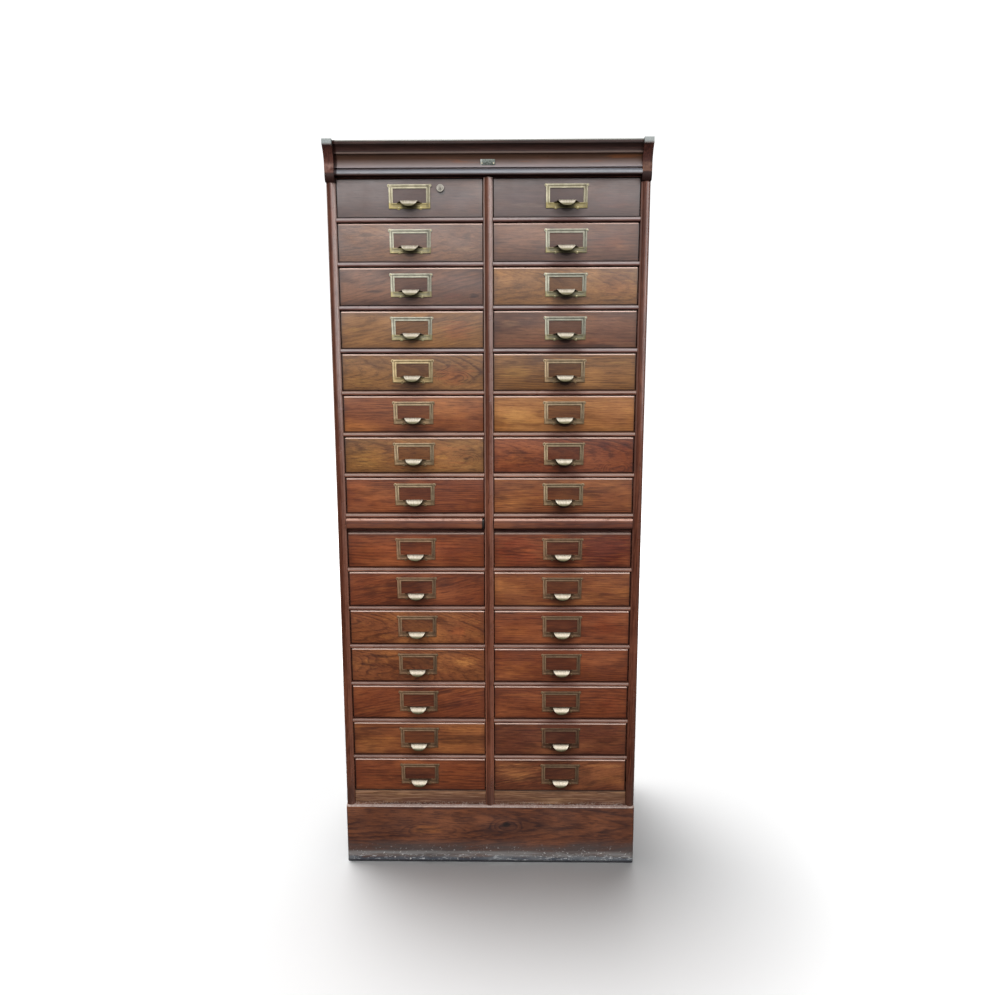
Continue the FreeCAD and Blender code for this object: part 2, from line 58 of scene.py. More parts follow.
COLUMNS = ("left", "right")
ROWS = range(1, 16)
BOARD_EASE = 0.8 * MM


def at(x, ahead, z):
    """A point from an X, a distance ahead of the drawer faces and a height."""
    return Vector((x, FACE - ahead, z))


def mean(low, high):
    return (Vector(low) + Vector(high)) / 2


def same(a, b, slack=1e-5):
    return abs(a - b) < slack


# Modelling by hand
def only(piece=None):
    """Makes one object the selected and active one, or deselects all."""
    bpy.ops.object.select_all(action="DESELECT")
    if piece:
        piece.select_set(True)
        bpy.context.view_layer.objects.active = piece


def settle(name=None, size=None):
    """Puts the new object's place, turn and size into its mesh, and gives it its name."""
    piece = bpy.context.active_object
    if size is not None:
        piece.scale = size
    only(piece)
    bpy.ops.object.transform_apply(location=True, rotation=True, scale=True)
    if name:
        piece.name = piece.data.name = name
    return piece


def block(name, low, high):
    """A board, from a cube set between two corners."""
    only()
    bpy.ops.mesh.primitive_cube_add(size=1.0, location=mean(low, high))
    return settle(name, Vector(high) - Vector(low))


def cylinder(name, middle, radius, length, sides=32):
    """A round that runs from front to back."""
    only()
    bpy.ops.mesh.primitive_cylinder_add(vertices=sides, radius=radius, depth=length,
                                        location=middle, rotation=(math.radians(90), 0, 0))
    return settle(name)


@contextlib.contextmanager
def editing(piece, kind="FACE", wanted=None):
    """Edit mode with the wanted parts selected, by their middle and themselves."""
    only(piece)
    mesh = piece.data
    bpy.ops.object.mode_set(mode="EDIT")
    bpy.ops.mesh.select_mode(type=kind)
    bpy.ops.mesh.select_all(action="DESELECT")
    bpy.ops.object.mode_set(mode="OBJECT")
    for part in {"VERT": mesh.vertices, "EDGE": mesh.edges, "FACE": mesh.polygons}[kind]:
        corners = [part.co] if kind == "VERT" else [mesh.vertices[i].co for i in part.vertices]
        middle = sum(corners, Vector()) / len(corners)
        part.select = wanted is None or bool(wanted(middle, part))
    bpy.ops.object.mode_set(mode="EDIT")
    yield
    bpy.ops.object.mode_set(mode="OBJECT")


def pull_out(x=0, y=0, z=0):
    bpy.ops.mesh.extrude_region_move(TRANSFORM_OT_translate={"value": (x, y, z)})


def move(x=0, y=0, z=0):
    bpy.ops.transform.translate(value=(x, y, z))


def round_off(radius, segments):
    bpy.ops.mesh.bevel(offset=radius, segments=segments, affect="EDGES")


def turn_outwards():
    bpy.ops.mesh.select_all(action="SELECT")
    bpy.ops.mesh.normals_make_consistent(inside=False)


def close_shell(piece):
    """Merges doubles, closes open ends and turns all faces outwards."""
    with editing(piece, "VERT"):
        bpy.ops.mesh.remove_doubles(threshold=1e-6)
        bpy.ops.mesh.select_mode(type="EDGE")
        bpy.ops.mesh.select_all(action="DESELECT")
        bpy.ops.mesh.select_non_manifold()
        bpy.ops.mesh.fill_holes(sides=0)
        turn_outwards()


def apply(piece, kind, **settings):
    """Adds a modifier with its settings and applies it."""
    only(piece)
    modifier = piece.modifiers.new(kind.lower(), kind)
    for key, value in settings.items():
        setattr(modifier, key, value)
    bpy.ops.object.modifier_apply(modifier=modifier.name)


def smooth(piece, corner=35):
    only(piece)
    bpy.ops.object.shade_smooth_by_angle(angle=math.radians(corner))


def ease(piece, radius, segments=2, corner=30):
    """Rounds every corner sharper than an angle, and smooths what is rounder than that."""
    apply(piece, "BEVEL", width=radius, segments=segments, limit_method="ANGLE",
          angle_limit=math.radians(corner), harden_normals=False)
    smooth(piece)


def cut(piece, cutter):
    """Takes one shape out of another."""
    apply(piece, "BOOLEAN", operation="DIFFERENCE", solver="EXACT", object=cutter)
    bpy.data.objects.remove(cutter)


def join(name, pieces):
    only(pieces[0])
    for piece in pieces:
        piece.select_set(True)
    bpy.ops.object.join()
    return settle(name)


def copy_of(piece, name, shift=(0, 0, 0), flip=False):
    """A copy with its own mesh, moved or mirrored to the other side."""
    twin = piece.copy()
    twin.data = piece.data.copy()
    bpy.context.scene.collection.objects.link(twin)
    if flip:
        twin.data.transform(Matrix.Scale(-1, 4, (1, 0, 0)))
        twin.data.flip_normals()
    twin.data.transform(Matrix.Translation(shift))
    twin.name = twin.data.name = name
    return twin


def pull_section(name, corner, width, start, steps):
    """A length of section: a strip whose last edge is pulled and spun along the outline.

    The outline is in millimetres ahead of the corner and above it, and it is drawn out along X.
    A step is a point, or a point and how far its arc bows to the left.
    """
    across, up, run = Vector((0, -MM, 0)), Vector((0, 0, MM)), Vector((width, 0, 0))

    def place(pair):
        return Vector(corner) + across * pair[0] + up * pair[1]

    here, first = place(start), place(steps[0])
    only()
    bpy.ops.mesh.primitive_plane_add(size=1.0)
    piece = bpy.context.active_object
    columns = (run, first - here, run.cross(first - here).normalized(), (here + first + run) / 2)
    piece.matrix_world = Matrix([[c[i] for c in columns] for i in range(3)] + [[0, 0, 0, 1]])
    settle(name)
    with editing(piece, "EDGE", lambda c, e: (c - first - run / 2).length < 1e-6):
        last = steps[0]
        for step in steps[1:] + [start]:
            curved = isinstance(step[0], tuple)
            point = step[0] if curved else step
            if curved:
                spin_arc(place, last, point, step[1], across.cross(up).normalized())
            else:
                pull_out(*(place(point) - place(last)))
            last = point
    close_shell(piece)
    return piece


def spin_arc(place, here, there, sag, axis):
    """Spins the selected edge along an arc that bows to the left of its way by sag."""
    way = (there[0] - here[0], there[1] - here[1])
    chord = math.hypot(*way)
    radius = (chord ** 2 / 4 + sag ** 2) / (2 * abs(sag))
    side = math.copysign(radius - abs(sag), sag)
    centre = ((here[0] + there[0]) / 2 + side * way[1] / chord,
              (here[1] + there[1]) / 2 - side * way[0] / chord)
    angle = 4 * math.atan(2 * abs(sag) / chord)
    steps = max(3, math.ceil(math.degrees(angle) / 9))
    bpy.ops.mesh.spin(steps=steps, angle=math.copysign(angle, sag), center=place(centre), axis=axis)


# Finishes
def rgba(colour):
    """A colour or a grey, with its alpha."""
    return (*((colour,) * 3 if isinstance(colour, float) else colour), 1.0)


def operation(kind):
    """A sign of arithmetic that lays down a node of the given kind."""
    return lambda value, *others: value.finish.math(kind, value, *others)


class Value:
    """A number that nodes work out at each place. A | B is the larger of the two."""

    def __init__(self, finish, socket):
        self.finish = finish
        self.socket = socket

    __add__ = operation("ADD")
    __sub__ = operation("SUBTRACT")
    __mul__ = operation("MULTIPLY")
    __or__ = operation("MAXIMUM")
    __abs__ = operation("ABSOLUTE")

    def __rsub__(self, other):
        return self.finish.math("SUBTRACT", other, self)

    def clamped(self):
        """The same, kept between 0 and 1."""
        self.socket.node.use_clamp = True
        return self

    def range(self, low, high, to_low=0.0, to_high=1.0, smooth=True):
        """Goes from one number to another while this goes from low to high."""
        made = self.finish.node("ShaderNodeMapRange", {
            "Value": self, "From Min": low, "From Max": high, "To Min": to_low,
            "To Max": to_high}, interpolation_type="SMOOTHSTEP" if smooth else "LINEAR")
        return Value(self.finish, made.outputs["Result"])

    def span(self, zero, low, high, *to):
        """A range whose ends are in millimetres from a place."""
        return self.range(zero + low * MM, zero + high * MM, *to)

    def band(self, zero, rise, full, fade, end):
        """1 from full to fade, and 0 outside rise and end, in millimetres from a place."""
        return self.span(zero, rise, full) * self.span(zero, end, fade)

    def broken(self, scale, low, high, shift=(0, 0, 0)):
        """This mask, broken up by a fine noise."""
        return self * self.finish.noise(scale, 4.0, 0.65, shift).range(low, high)


class Finish:
    """A material whose nodes are laid down one after another, and the colour that they give."""

    def __init__(self, name):
        self.material = bpy.data.materials.new(name)
        self.material.use_nodes = True
        self.tree = self.material.node_tree
        self.surface = self.tree.nodes["Principled BSDF"]
        self.place = self.node("ShaderNodeTexCoord").outputs["Object"]
        parts = self.node("ShaderNodeSeparateXYZ", {0: self.place}).outputs
        self.x, self.y, self.z = (Value(self, part) for part in parts)
        self.colour = None

    def feed(self, socket, value):
        """Gives a socket a plain value, or links it to the node that works it out."""
        if isinstance(value, Value):
            value = value.socket
        if isinstance(value, bpy.types.NodeSocket):
            self.tree.links.new(value, socket)
        else:
            socket.default_value = rgba(value) if socket.type == "RGBA" else value

    def node(self, kind, inputs=None, **settings):
        made = self.tree.nodes.new(kind)
        for key, value in settings.items():
            setattr(made, key, value)
        for key, value in (inputs or {}).items():
            self.feed(made.inputs[key], value)
        return made

    def math(self, operation, *values):
        made = self.node("ShaderNodeMath", dict(enumerate(values)), operation=operation)
        return Value(self, made.outputs[0])

    def vector(self, operation, *vectors):
        return self.node("ShaderNodeVectorMath", dict(enumerate(vectors)), operation=operation)

    def length(self, vector):
        return Value(self, self.vector("LENGTH", vector).outputs["Value"])

    def scaled(self, vector, scale, shift):
        made = self.node("ShaderNodeMapping", {"Vector": vector, "Location": shift, "Scale": scale})
        return made.outputs[0]

    def noise(self, scale, detail=2.0, roughness=0.5, shift=(0, 0, 0), of=None):
        """A noise with one scale, or with one for each of X, Y and Z."""
        vector = of or self.place
        if isinstance(scale, tuple):
            vector, scale = self.scaled(vector, scale, shift), 1.0
        elif any(shift):
            vector = self.scaled(vector, (1, 1, 1), shift)
        made = self.node("ShaderNodeTexNoise", {
            "Vector": vector, "Scale": scale, "Detail": detail, "Roughness": roughness})
        return Value(self, made.outputs["Fac"])

    def ramp(self, value, stops):
        made = self.node("ShaderNodeValToRGB", {"Fac": value})
        elements = made.color_ramp.elements
        while len(elements) < len(stops):
            elements.new(0.5)
        for element, (position, colour) in zip(elements, stops):
            element.position = position
            element.color = rgba(colour)
        return Value(self, made.outputs["Color"])

    def mix(self, share, a, b, blend="MIX"):
        return self.node("ShaderNodeMix", {0: share, 6: a, 7: b}, data_type="RGBA",
                         blend_type=blend, clamp_factor=True).outputs[2]

    def lay(self, mask, tone, share=None, blend="MIX"):
        """Lays a tone over the colour so far, where the mask is and as strongly as the share."""
        if share is not None:
            mask = mask * share
        self.colour = self.mix(mask, self.colour, tone, blend)

    def stain(self, mask, tint, share=None):
        """Multiplies the colour so far by a tint where the mask is."""
        self.lay(mask, self.mix(1.0, self.colour, tint, "MULTIPLY"), share)

    def spot(self, centre, size, rough=0.0, ragged=None):
        """A soft oval on the face of a board, its size in mm: 1 in its middle and 0 outside."""
        half = [part * MM / 2 for part in size]
        shift = (-centre[0] / half[0], 0.0, -centre[1] / half[1])
        off = self.length(self.scaled(self.place, (1 / half[0], 0.0, 1 / half[1]), shift))
        if rough:
            off = (ragged - 0.5) * rough + off
        return off.range(1.0, 0.35)

    def rim(self, low, high, width, ways):
        """How near a place is to the rim of a box, across the chosen ways: 1 on it, 0 inside."""
        middle = mean(low, high)
        half = (Vector(high) - Vector(low)) / 2
        nearest = None
        for way in ways:
            reach = getattr(half, way)
            near = abs(getattr(self, way) - getattr(middle, way)).range(reach - width, reach)
            nearest = nearest | near if nearest else near
        return nearest

    def wear(self, roughness, bumps=None, bump=0.0, **values):
        """Feeds the surface its colour, its roughness, its bumps and what else is given."""
        values.update(Base_Color=self.colour, Roughness=roughness)
        if bumps:
            inputs = {"Height": bumps, "Strength": bump, "Distance": 0.2 * MM}
            values["Normal"] = self.node("ShaderNodeBump", inputs).outputs["Normal"]
        for key, value in values.items():
            self.feed(self.surface.inputs[key.replace("_", " ")], value)
        return self.material


# Stained oak: dark ring lines, a field between them, and where light hands have rubbed it
UMBER = ((0.024, 0.008, 0.005), (0.105, 0.030, 0.014), (0.200, 0.068, 0.026))
RED = ((0.036, 0.009, 0.005), (0.140, 0.035, 0.013), (0.230, 0.068, 0.024))
GOLDEN = ((0.042, 0.012, 0.006), (0.165, 0.050, 0.018), (0.275, 0.098, 0.030))
PALE = ((0.085, 0.027, 0.008), (0.225, 0.086, 0.023), (0.310, 0.135, 0.042))
# The three greyish tones below, used on the upper fronts, are greyed partly as a painted sky sheen
GREYED = ((0.022, 0.010, 0.009), (0.052, 0.024, 0.019), (0.085, 0.040, 0.027))
SHEEN_GREYED = ((0.030, 0.012, 0.009), (0.105, 0.045, 0.023), (0.175, 0.078, 0.034))
ASHEN = ((0.026, 0.011, 0.009), (0.086, 0.036, 0.021), (0.145, 0.062, 0.031))
HAZEL = ((0.040, 0.015, 0.008), (0.155, 0.068, 0.021), (0.245, 0.112, 0.036))
DARK = ((0.018, 0.006, 0.005), (0.052, 0.018, 0.014), (0.100, 0.038, 0.026))
TAN = ((0.050, 0.020, 0.009), (0.165, 0.078, 0.038), (0.270, 0.150, 0.078))
BARE = ((0.240, 0.150, 0.085), (0.430, 0.300, 0.180), (0.520, 0.380, 0.245))
STILE = ((0.036, 0.010, 0.006), (0.088, 0.028, 0.016), (0.145, 0.050, 0.028))
ROSY = ((0.040, 0.016, 0.013), (0.120, 0.054, 0.045), (0.200, 0.100, 0.082))
WARM_ROSE = ((0.055, 0.016, 0.010), (0.180, 0.070, 0.045), (0.300, 0.135, 0.090))
PLINTH = ((0.026, 0.009, 0.007), (0.088, 0.029, 0.014), (0.150, 0.050, 0.021))
# Pale top arris: wear, and on the drawer fronts also a painted highlight where the top edge catches
# the light
ARRIS_WEAR_AND_GLINT = (0.50, 0.33, 0.27)
# Near-black for grime, and for painted shade in gaps, under overhangs and under the pulls
SHADE_AND_GRIME = (0.012, 0.005, 0.004)

# How the log lay: its heart behind and above the board's middle, the turn of its axis away from
# the face and within the face, the width of its rings, and how far they wander
STRAIGHT = ((0.012, 0.34), (0.5, 1.2), 0.0050, 0.010)
QUIET = ((0.10, 0.20), (1.5, 1.0), 0.0075, 0.014)
ARCHED = ((0.045, 0.006), (7.0, 2.0), 0.0052, 0.016)
SLANTED = ((0.060, 0.060), (3.0, -9.0), 0.0060, 0.020)
SWIRLED = ((0.040, -0.020), (10.0, 9.0), 0.0064, 0.034)
PLANK = ((0.050, 0.012), (4.0, 1.0), 0.0085, 0.022)

GRAIN_TURN = {"X": (0, 0, 0), "Y": (0, 0, math.radians(90)), "Z": (0, math.radians(-90), 0)}


class Oak(Finish):
    """Colour and relief of an oak board cut from a log that ran along the given way."""

    def __init__(self, name, middle, tones, figure, along="X", seed=0.0, knots=(), lively=1.0):
        super().__init__(name)
        line, field, light = tones
        (behind, above), (away, within), ring_width, wander = figure
        turn = Vector(GRAIN_TURN[along]) + Vector((0, math.radians(within), math.radians(away)))
        heart = {"X": (0, behind, above), "Y": (above, 0, -behind), "Z": (above, behind, 0)}[along]
        log = self.node("ShaderNodeMapping", {
            "Vector": self.place, "Location": Vector(middle) + Vector(heart), "Rotation": turn},
            vector_type="TEXTURE").outputs[0]
        drift = self.vector("ADD", log, (seed, seed * 1.7, seed * 0.6)).outputs["Vector"]

        def grain(scale, detail=2.0, roughness=0.5, shift=(0, 0, 0)):
            return self.noise(scale, detail, roughness, shift, drift)

        radius = self.length(self.vector("MULTIPLY", log, (0, 1, 1)).outputs["Vector"])
        radius = (grain((2.6, 11, 11)) - 0.5) * (2 * wander) + radius
        radius = (grain((14, 70, 70)) - 0.5) * 0.0040 + radius
        for centre, size, swell in knots:
            radius = self.spot(centre, size) * swell + radius
        count = self.math("DIVIDE", radius, ring_width)
        year = Value(self, self.node("ShaderNodeTexWhiteNoise", {
            "W": self.math("FLOOR", count)}, noise_dimensions="1D").outputs["Value"])
        ring = self.ramp(self.math("FRACT", count), [
            (0.0, 0.06), (0.12, 0.0), (0.36, 0.66), (0.86, 1.0), (1.0, 0.25)])
        strength = grain((3, 16, 16), shift=(5, 5, 5)).range(0.34, 0.60, 0.20, 1.0)
        strength = strength * year.range(0.0, 1.0, 0.45, 1.0) * lively
        ring_mask = 1.0 - strength * (1.0 - ring)
        self.colour = self.mix(ring_mask, line, field)

        self.cloud = grain((5, 17, 17), 3.0, 0.55, (2, 9, 4))
        self.lay(self.cloud.range(0.44, 0.68), self.mix(ring_mask, field, light))
        self.lay(grain((7, 26, 26), 3.0, 0.6, (8, 1, 7)).range(0.52, 0.70, 0.0, 0.6), line)
        streak = grain((20, 330, 330), 2.0, 0.6)
        self.lay(streak.range(0.53, 0.66, 0.0, 0.65 * lively), line)
        self.lay(streak.range(0.45, 0.33, 0.0, 0.50 * lively), light)
        fibre = grain((30, 900, 900), 3.0, 0.65)
        self.lay(1.0, self.ramp(fibre, [(0.30, (0.74, 0.72, 0.70)), (0.52, 1.0),
                                        (0.74, (1.24, 1.22, 1.18))]), blend="MULTIPLY")
        pore = (grain((75, 2300, 2300), 1.0).range(0.60, 0.68) * (1.1 - ring)).clamped()
        self.lay(pore, line, 0.75)
        self.relief = fibre * 0.35 - pore

    def varnish(self, dull, shine, coat=0.0):
        """Old satin varnish over the wood: uneven gloss, and pores that it hasn't filled."""
        smear = self.noise((9, 9, 14), 4.0, 0.6)
        roughness = smear.range(0.3, 0.7, dull - 0.07, dull + 0.12) + self.cloud * 0.06
        height = self.relief + self.noise((60, 60, 90)) * 0.5
        return self.wear(roughness, height, 0.35, Specular_IOR_Level=shine, Coat_Weight=coat,
                         Coat_Roughness=0.22)


def oak(name, low, high, tones, figure, along="X", seed=0.0, dull=0.36, dirt_and_shade=0.5, wear_and_glint=0.5,
        coat=0.12, shine=0.5):
    """An oak board's finish, darker where grime gathers along its rim, rubbed on its top arris."""
    wood = Oak(name, mean(low, high), tones, figure, along, seed)
    ways = {"X": "xz", "Z": "x", "Y": "xy"}[along]
    wood.lay(wood.rim(low, high, 12 * MM, ways), tones[0], 0.45 * dirt_and_shade)
    arris = wood.z.span(Vector(high).z, -2.2, -0.8).broken(90.0, 0.25, 0.50)
    wood.lay(arris, ARRIS_WEAR_AND_GLINT, wear_and_glint)
    return wood.varnish(dull, shine, coat)


def paint(piece, material):
    piece.data.materials.clear()
    piece.data.materials.append(material)


def dress(piece, material, body, slot, *nodes):
    """Gives a piece its material, its body and the node that it stands for."""
    paint(piece, material)
    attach(piece, body)
    if nodes:
        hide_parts(*nodes)
    return piece


# Carcass
# A nose's two rounds stop just short of each other. A clear distance is what a cutter sticks out of
# a board, and how far the middle of an upright edge is from the edge's ends.
NOSE_SEGMENTS = 10
SHORT_OF_FULL = 0.998
CLEAR = 10 * MM


def bullnose(piece, start, low, high, radius):
    """Pulls the front between two heights forward and rounds its upright edges."""
    with editing(piece, "FACE", lambda c, f: same(c.y, start) and low < c.z < high):
        pull_out(y=-radius)
    with editing(piece, "EDGE", lambda c, e: same(c.y, start - radius)
                 and low + CLEAR < c.z < high - CLEAR):
        round_off(radius * SHORT_OF_FULL, NOSE_SEGMENTS)


def sides():
    """Side boards with a bullnose front, cut back over the plinth."""
    low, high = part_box("side_right")
    front = FACE - NOSE_START
    board = block("side_right_board", (low.x, front, low.z), high)
    with editing(board):
        bpy.ops.mesh.bisect(plane_co=(0, 0, PLINTH_TOP), plane_no=(0, 0, 1))
        bpy.ops.mesh.select_all(action="SELECT")
        bpy.ops.mesh.bisect(plane_co=(0, 0, BLOCK_BOTTOM), plane_no=(0, 0, 1))
    bullnose(board, front, PLINTH_TOP, BLOCK_BOTTOM, NOSE_RADIUS)
    with editing(board, "FACE", lambda c, f: same(c.y, front) and c.z < PLINTH_TOP):
        move(y=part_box("plinth_front")[1].y - front)
    close_shell(board)
    panel_low, panel_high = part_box("back_boards")
    cut(board, block("rebate", (low.x - CLEAR, panel_low.y, panel_low.z),
                     (panel_high.x, panel_high.y + CLEAR, panel_high.z)))
    ease(board, BOARD_EASE)
    twin = copy_of(board, "side_left_board", flip=True)
    for piece, node, seed, wear_and_glint in ((board, "side_right", 7.4, 0.25), (twin, "side_left", 3.1, 0.75)):
        finish = stile_finish("oak_" + node, *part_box(node), seed, wear_and_glint)
        dress(piece, finish, "carcass", "carcass_wood", node)


def stile_finish(name, low, high, seed, wear_and_glint=1.0):
    """Upright boards: dark, dull on the left of the round nose, rubbed down its shoulders; a painted
    highlight lies right of the nose's middle and a painted dark reflection left of it.
    """
    middle = mean(low, high)
    wood = Oak(name, middle, STILE, STRAIGHT, "Z", seed)
    on_nose = wood.y.span(FACE - NOSE_START, 0, -2)
    # Higher up the painted highlight and painted dark reflection grow, and the rubbed shoulders turn
    # paler and greyer as a painted sheen
    upper_sheen = wood.z.range(0.55, 1.70)
    shoulder = abs(wood.x - middle.x).band((high.x - low.x) / 2, -4.2, -2.6, -0.3, 0.2)
    shoulder = (shoulder * on_nose).broken(60.0, 0.10, 0.40)
    # Painted highlight, just right of the nose's middle
    crest_highlight = wood.x.band(middle.x, 0.5, 4, 7, 9.5) * on_nose
    highlight_tone = wood.mix(upper_sheen, (0.25, 0.092, 0.052), (0.20, 0.135, 0.115))
    wood.lay(crest_highlight.broken(25.0, 0.20, 0.60, (3, 1, 4)), highlight_tone, 0.45 * wear_and_glint)
    rubbed = wood.mix(upper_sheen, (0.30, 0.115, 0.070), (0.37, 0.285, 0.255))
    wood.lay(shoulder, rubbed, 0.75 * wear_and_glint)
    # Painted dark reflection, just left of the nose's middle
    dark_reflection = wood.x.band(middle.x, -9, -7, -2, 1) * (upper_sheen * on_nose)
    wood.lay(dark_reflection, (0.035, 0.018, 0.014), 0.5)
    wood.lay(wood.z.span(PLINTH_TOP, 110, 15), (0.040, 0.023, 0.019), 0.6)
    shine = wood.x.span(middle.x, -1.5, 3.5) * (0.20 + 0.24 * wear_and_glint) + 0.05
    return wood.varnish(0.22, shine)


def divider():
    """Centre divider: a web, and in front of it a stile with a round nose that runs further down."""
    low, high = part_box("centre_divider")
    rail_low, rail_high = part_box("top_rail")
    nose_back = low.y + DIVIDER_HALF
    web = block("divider_web", (low.x, rail_high.y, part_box("base_board")[1].z), high)
    stile = block("divider_stile", (low.x, nose_back, low.z), (high.x, rail_high.y, rail_low.z))
    bullnose(stile, nose_back, low.z, rail_low.z, DIVIDER_HALF)
    close_shell(stile)
    piece = join("divider_board", [stile, web])
    smooth(piece)
    finish = stile_finish("oak_centre_divider", low, high, 5.2)
    dress(piece, finish, "carcass", "carcass_wood", "centre_divider")


def plain_boards():
    """Top board and the plinth's back, seen from above and behind."""
    for node, tones, seed in (("top_board", UMBER, 3.0), ("plinth_back", BARE, 4.0)):
        low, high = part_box(node)
        board = block(node + "_piece", low, high)
        ease(board, 0.6 * MM)
        finish = oak("oak_" + node, low, high, tones, QUIET, seed=seed, dull=0.58)
        dress(board, finish, "carcass", "inner_wood", node)


def dress_hidden_nodes():
    """Rails, runners and blocks inside the case keep their shape and get bare wood, or dark wood as
    painted shade for the two rails that lie in shade.
    """
    for seed, node in enumerate(("drawer_runners_left", "drawer_runners_right", "slide_runners",
                                 "slide_support_rails", "plinth_blocks", "base_board",
                                 "top_rail")):
        low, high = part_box(node)
        along = "Y" if "runners" in node else "X"
        # The slide's support rails and the top rail get dark wood as painted shade
        dark_as_shade = node in ("slide_support_rails", "top_rail")
        tones, shine = (DARK, 0.08) if dark_as_shade else (BARE, 0.4)
        paint(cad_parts[node], oak("oak_" + node, low, high, tones, QUIET, along, seed * 1.9,
                                        0.6, 0.0, 0.0, 0.0, shine))


def backs():
    """Two thin back boards."""
    low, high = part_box("back_boards")
    for side, x0, x1, seed in (("left", low.x, 0.0, 4.4), ("right", 0.0, high.x, 9.2)):
        corners = (x0, low.y, low.z), (x1, high.y, high.z)
        board = block("back_board_" + side, *corners)
        ease(board, BOARD_EASE)
        finish = oak("oak_back_" + side, *corners, UMBER, ARCHED, "Z", seed, 0.62, 0.8, 0.1)
        dress(board, finish, "carcass", "inner_wood")
        if side == "left":
            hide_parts("back_boards")


def bottom_rails():
    """Flat rails under the lowest drawers, rubbed pale by feet and brooms."""
    low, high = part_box("bottom_rails")
    for side, x0, x1, seed in (("left", low.x, -DIVIDER_HALF, 1.3),
                               ("right", DIVIDER_HALF, high.x, 6.1)):
        corners = (x0, low.y, low.z), (x1, high.y, high.z)
        rail = block("bottom_rail_" + side, *corners)
        ease(rail, 1.0 * MM)
        wood = Oak("oak_bottom_rail_" + side, mean(*corners), TAN, STRAIGHT, seed=seed)
        dark = wood.cloud.range(0.62, 0.42) * wood.z.range(high.z, low.z + 4 * MM)
        wood.lay(dark, (0.075, 0.030, 0.020), 0.8)
        lines = wood.noise((12, 12, 500), 2.0, 0.6)
        wood.lay(lines.range(0.55, 0.66, 0.0, 0.6), TAN[0])
        wood.lay(lines.range(0.44, 0.34, 0.0, 0.5), (0.33, 0.19, 0.12))
        wood.lay(wood.z.span(low.z, 9, 0).broken(300.0, 0.50, 0.62), (0.42, 0.34, 0.28), 0.5)
        wood.lay(wood.z.span(high.z, -3.5, -0.5), SHADE_AND_GRIME, 0.75)
        dress(rail, wood.varnish(0.45, 0.3), "carcass", "carcass_wood")
        if side == "left":
            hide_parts("bottom_rails")


def bead_finish(side, low, high, first_row, tones, rub_and_glint):
    """Half-round rails: rubbed pale with a painted highlight on their top half, painted shade on their
    lower half and where they meet the fronts, and a painted shadow under the pulls.
    """
    wood = Oak("oak_bead_%s_%d" % (side, first_row), mean(low, high), tones, STRAIGHT,
               seed=2.2 * first_row + len(side))
    sill = sill_of(side, first_row)
    pitch = sill - sill_of(side, first_row + 1)
    height = wood.math("WRAP", wood.z, sill + 2 * MM, sill + 2 * MM - pitch)
    # Rubbed pale, with a painted highlight, on the bead's top half
    wood.lay(height.band(sill, -7.5, -5, -1.5, -0.3).broken(40.0, 0.10, 0.45), rub_and_glint, 0.8)
    # Painted shadow of the pulls, stronger in the right column
    off = abs(wood.x - (low.x + high.x) / 2)
    under = off.span(0, 62, 24, 0.0, 0.30 if side == "left" else 0.55)
    wood.lay(under, DARK[1])
    # Painted shade on the bead's lower half and in the gap along its top
    dirt_and_shade = height.span(sill, -8, -11) | height.span(sill, -1.3, -0.3)
    wood.lay(dirt_and_shade, SHADE_AND_GRIME, 0.85)
    return wood.varnish(0.30, (dirt_and_shade * -0.9 + 1.0) * 0.36 * (1.0 - under))


# In millimetres
BEAD_HEIGHT = 12.0


def bead_rails():
    """Half-round rails between the drawers."""
    for side in COLUMNS:
        node = "bead_rails_" + side
        low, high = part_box(node)
        back = (FACE - high.y) / MM
        first_sill = sill_of(side, 1)
        master = pull_section("bead_rail_%s_01" % side, (low.x, FACE, first_sill), high.x - low.x,
                              (back, -BEAD_HEIGHT),
                              [(0, -BEAD_HEIGHT), ((0, 0), -BEAD_HEIGHT / 2), (back, 0)])
        smooth(master)
        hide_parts(node)
        for first_row, last_row, tones, rub_and_glint in ((1, 4, ROSY, (0.19, 0.160, 0.155)),
                                                (5, 8, WARM_ROSE, (0.165, 0.105, 0.080)),
                                                (9, 14, WARM_ROSE, (0.115, 0.062, 0.044))):
            finish = bead_finish(side, low, high, first_row, tones, rub_and_glint)
            for row in range(first_row, last_row + 1):
                rail = master
                if row > 1:
                    rail = copy_of(master, "bead_rail_%s_%02d" % (side, row),
                                   (0, 0, sill_of(side, row) - first_sill))
                dress(rail, finish, "carcass", "carcass_wood")


PLINTH_CORNER, LEDGE_ROUND, SLIDE_LIP_ROUND = 6 * MM, 3 * MM, 5 * MM


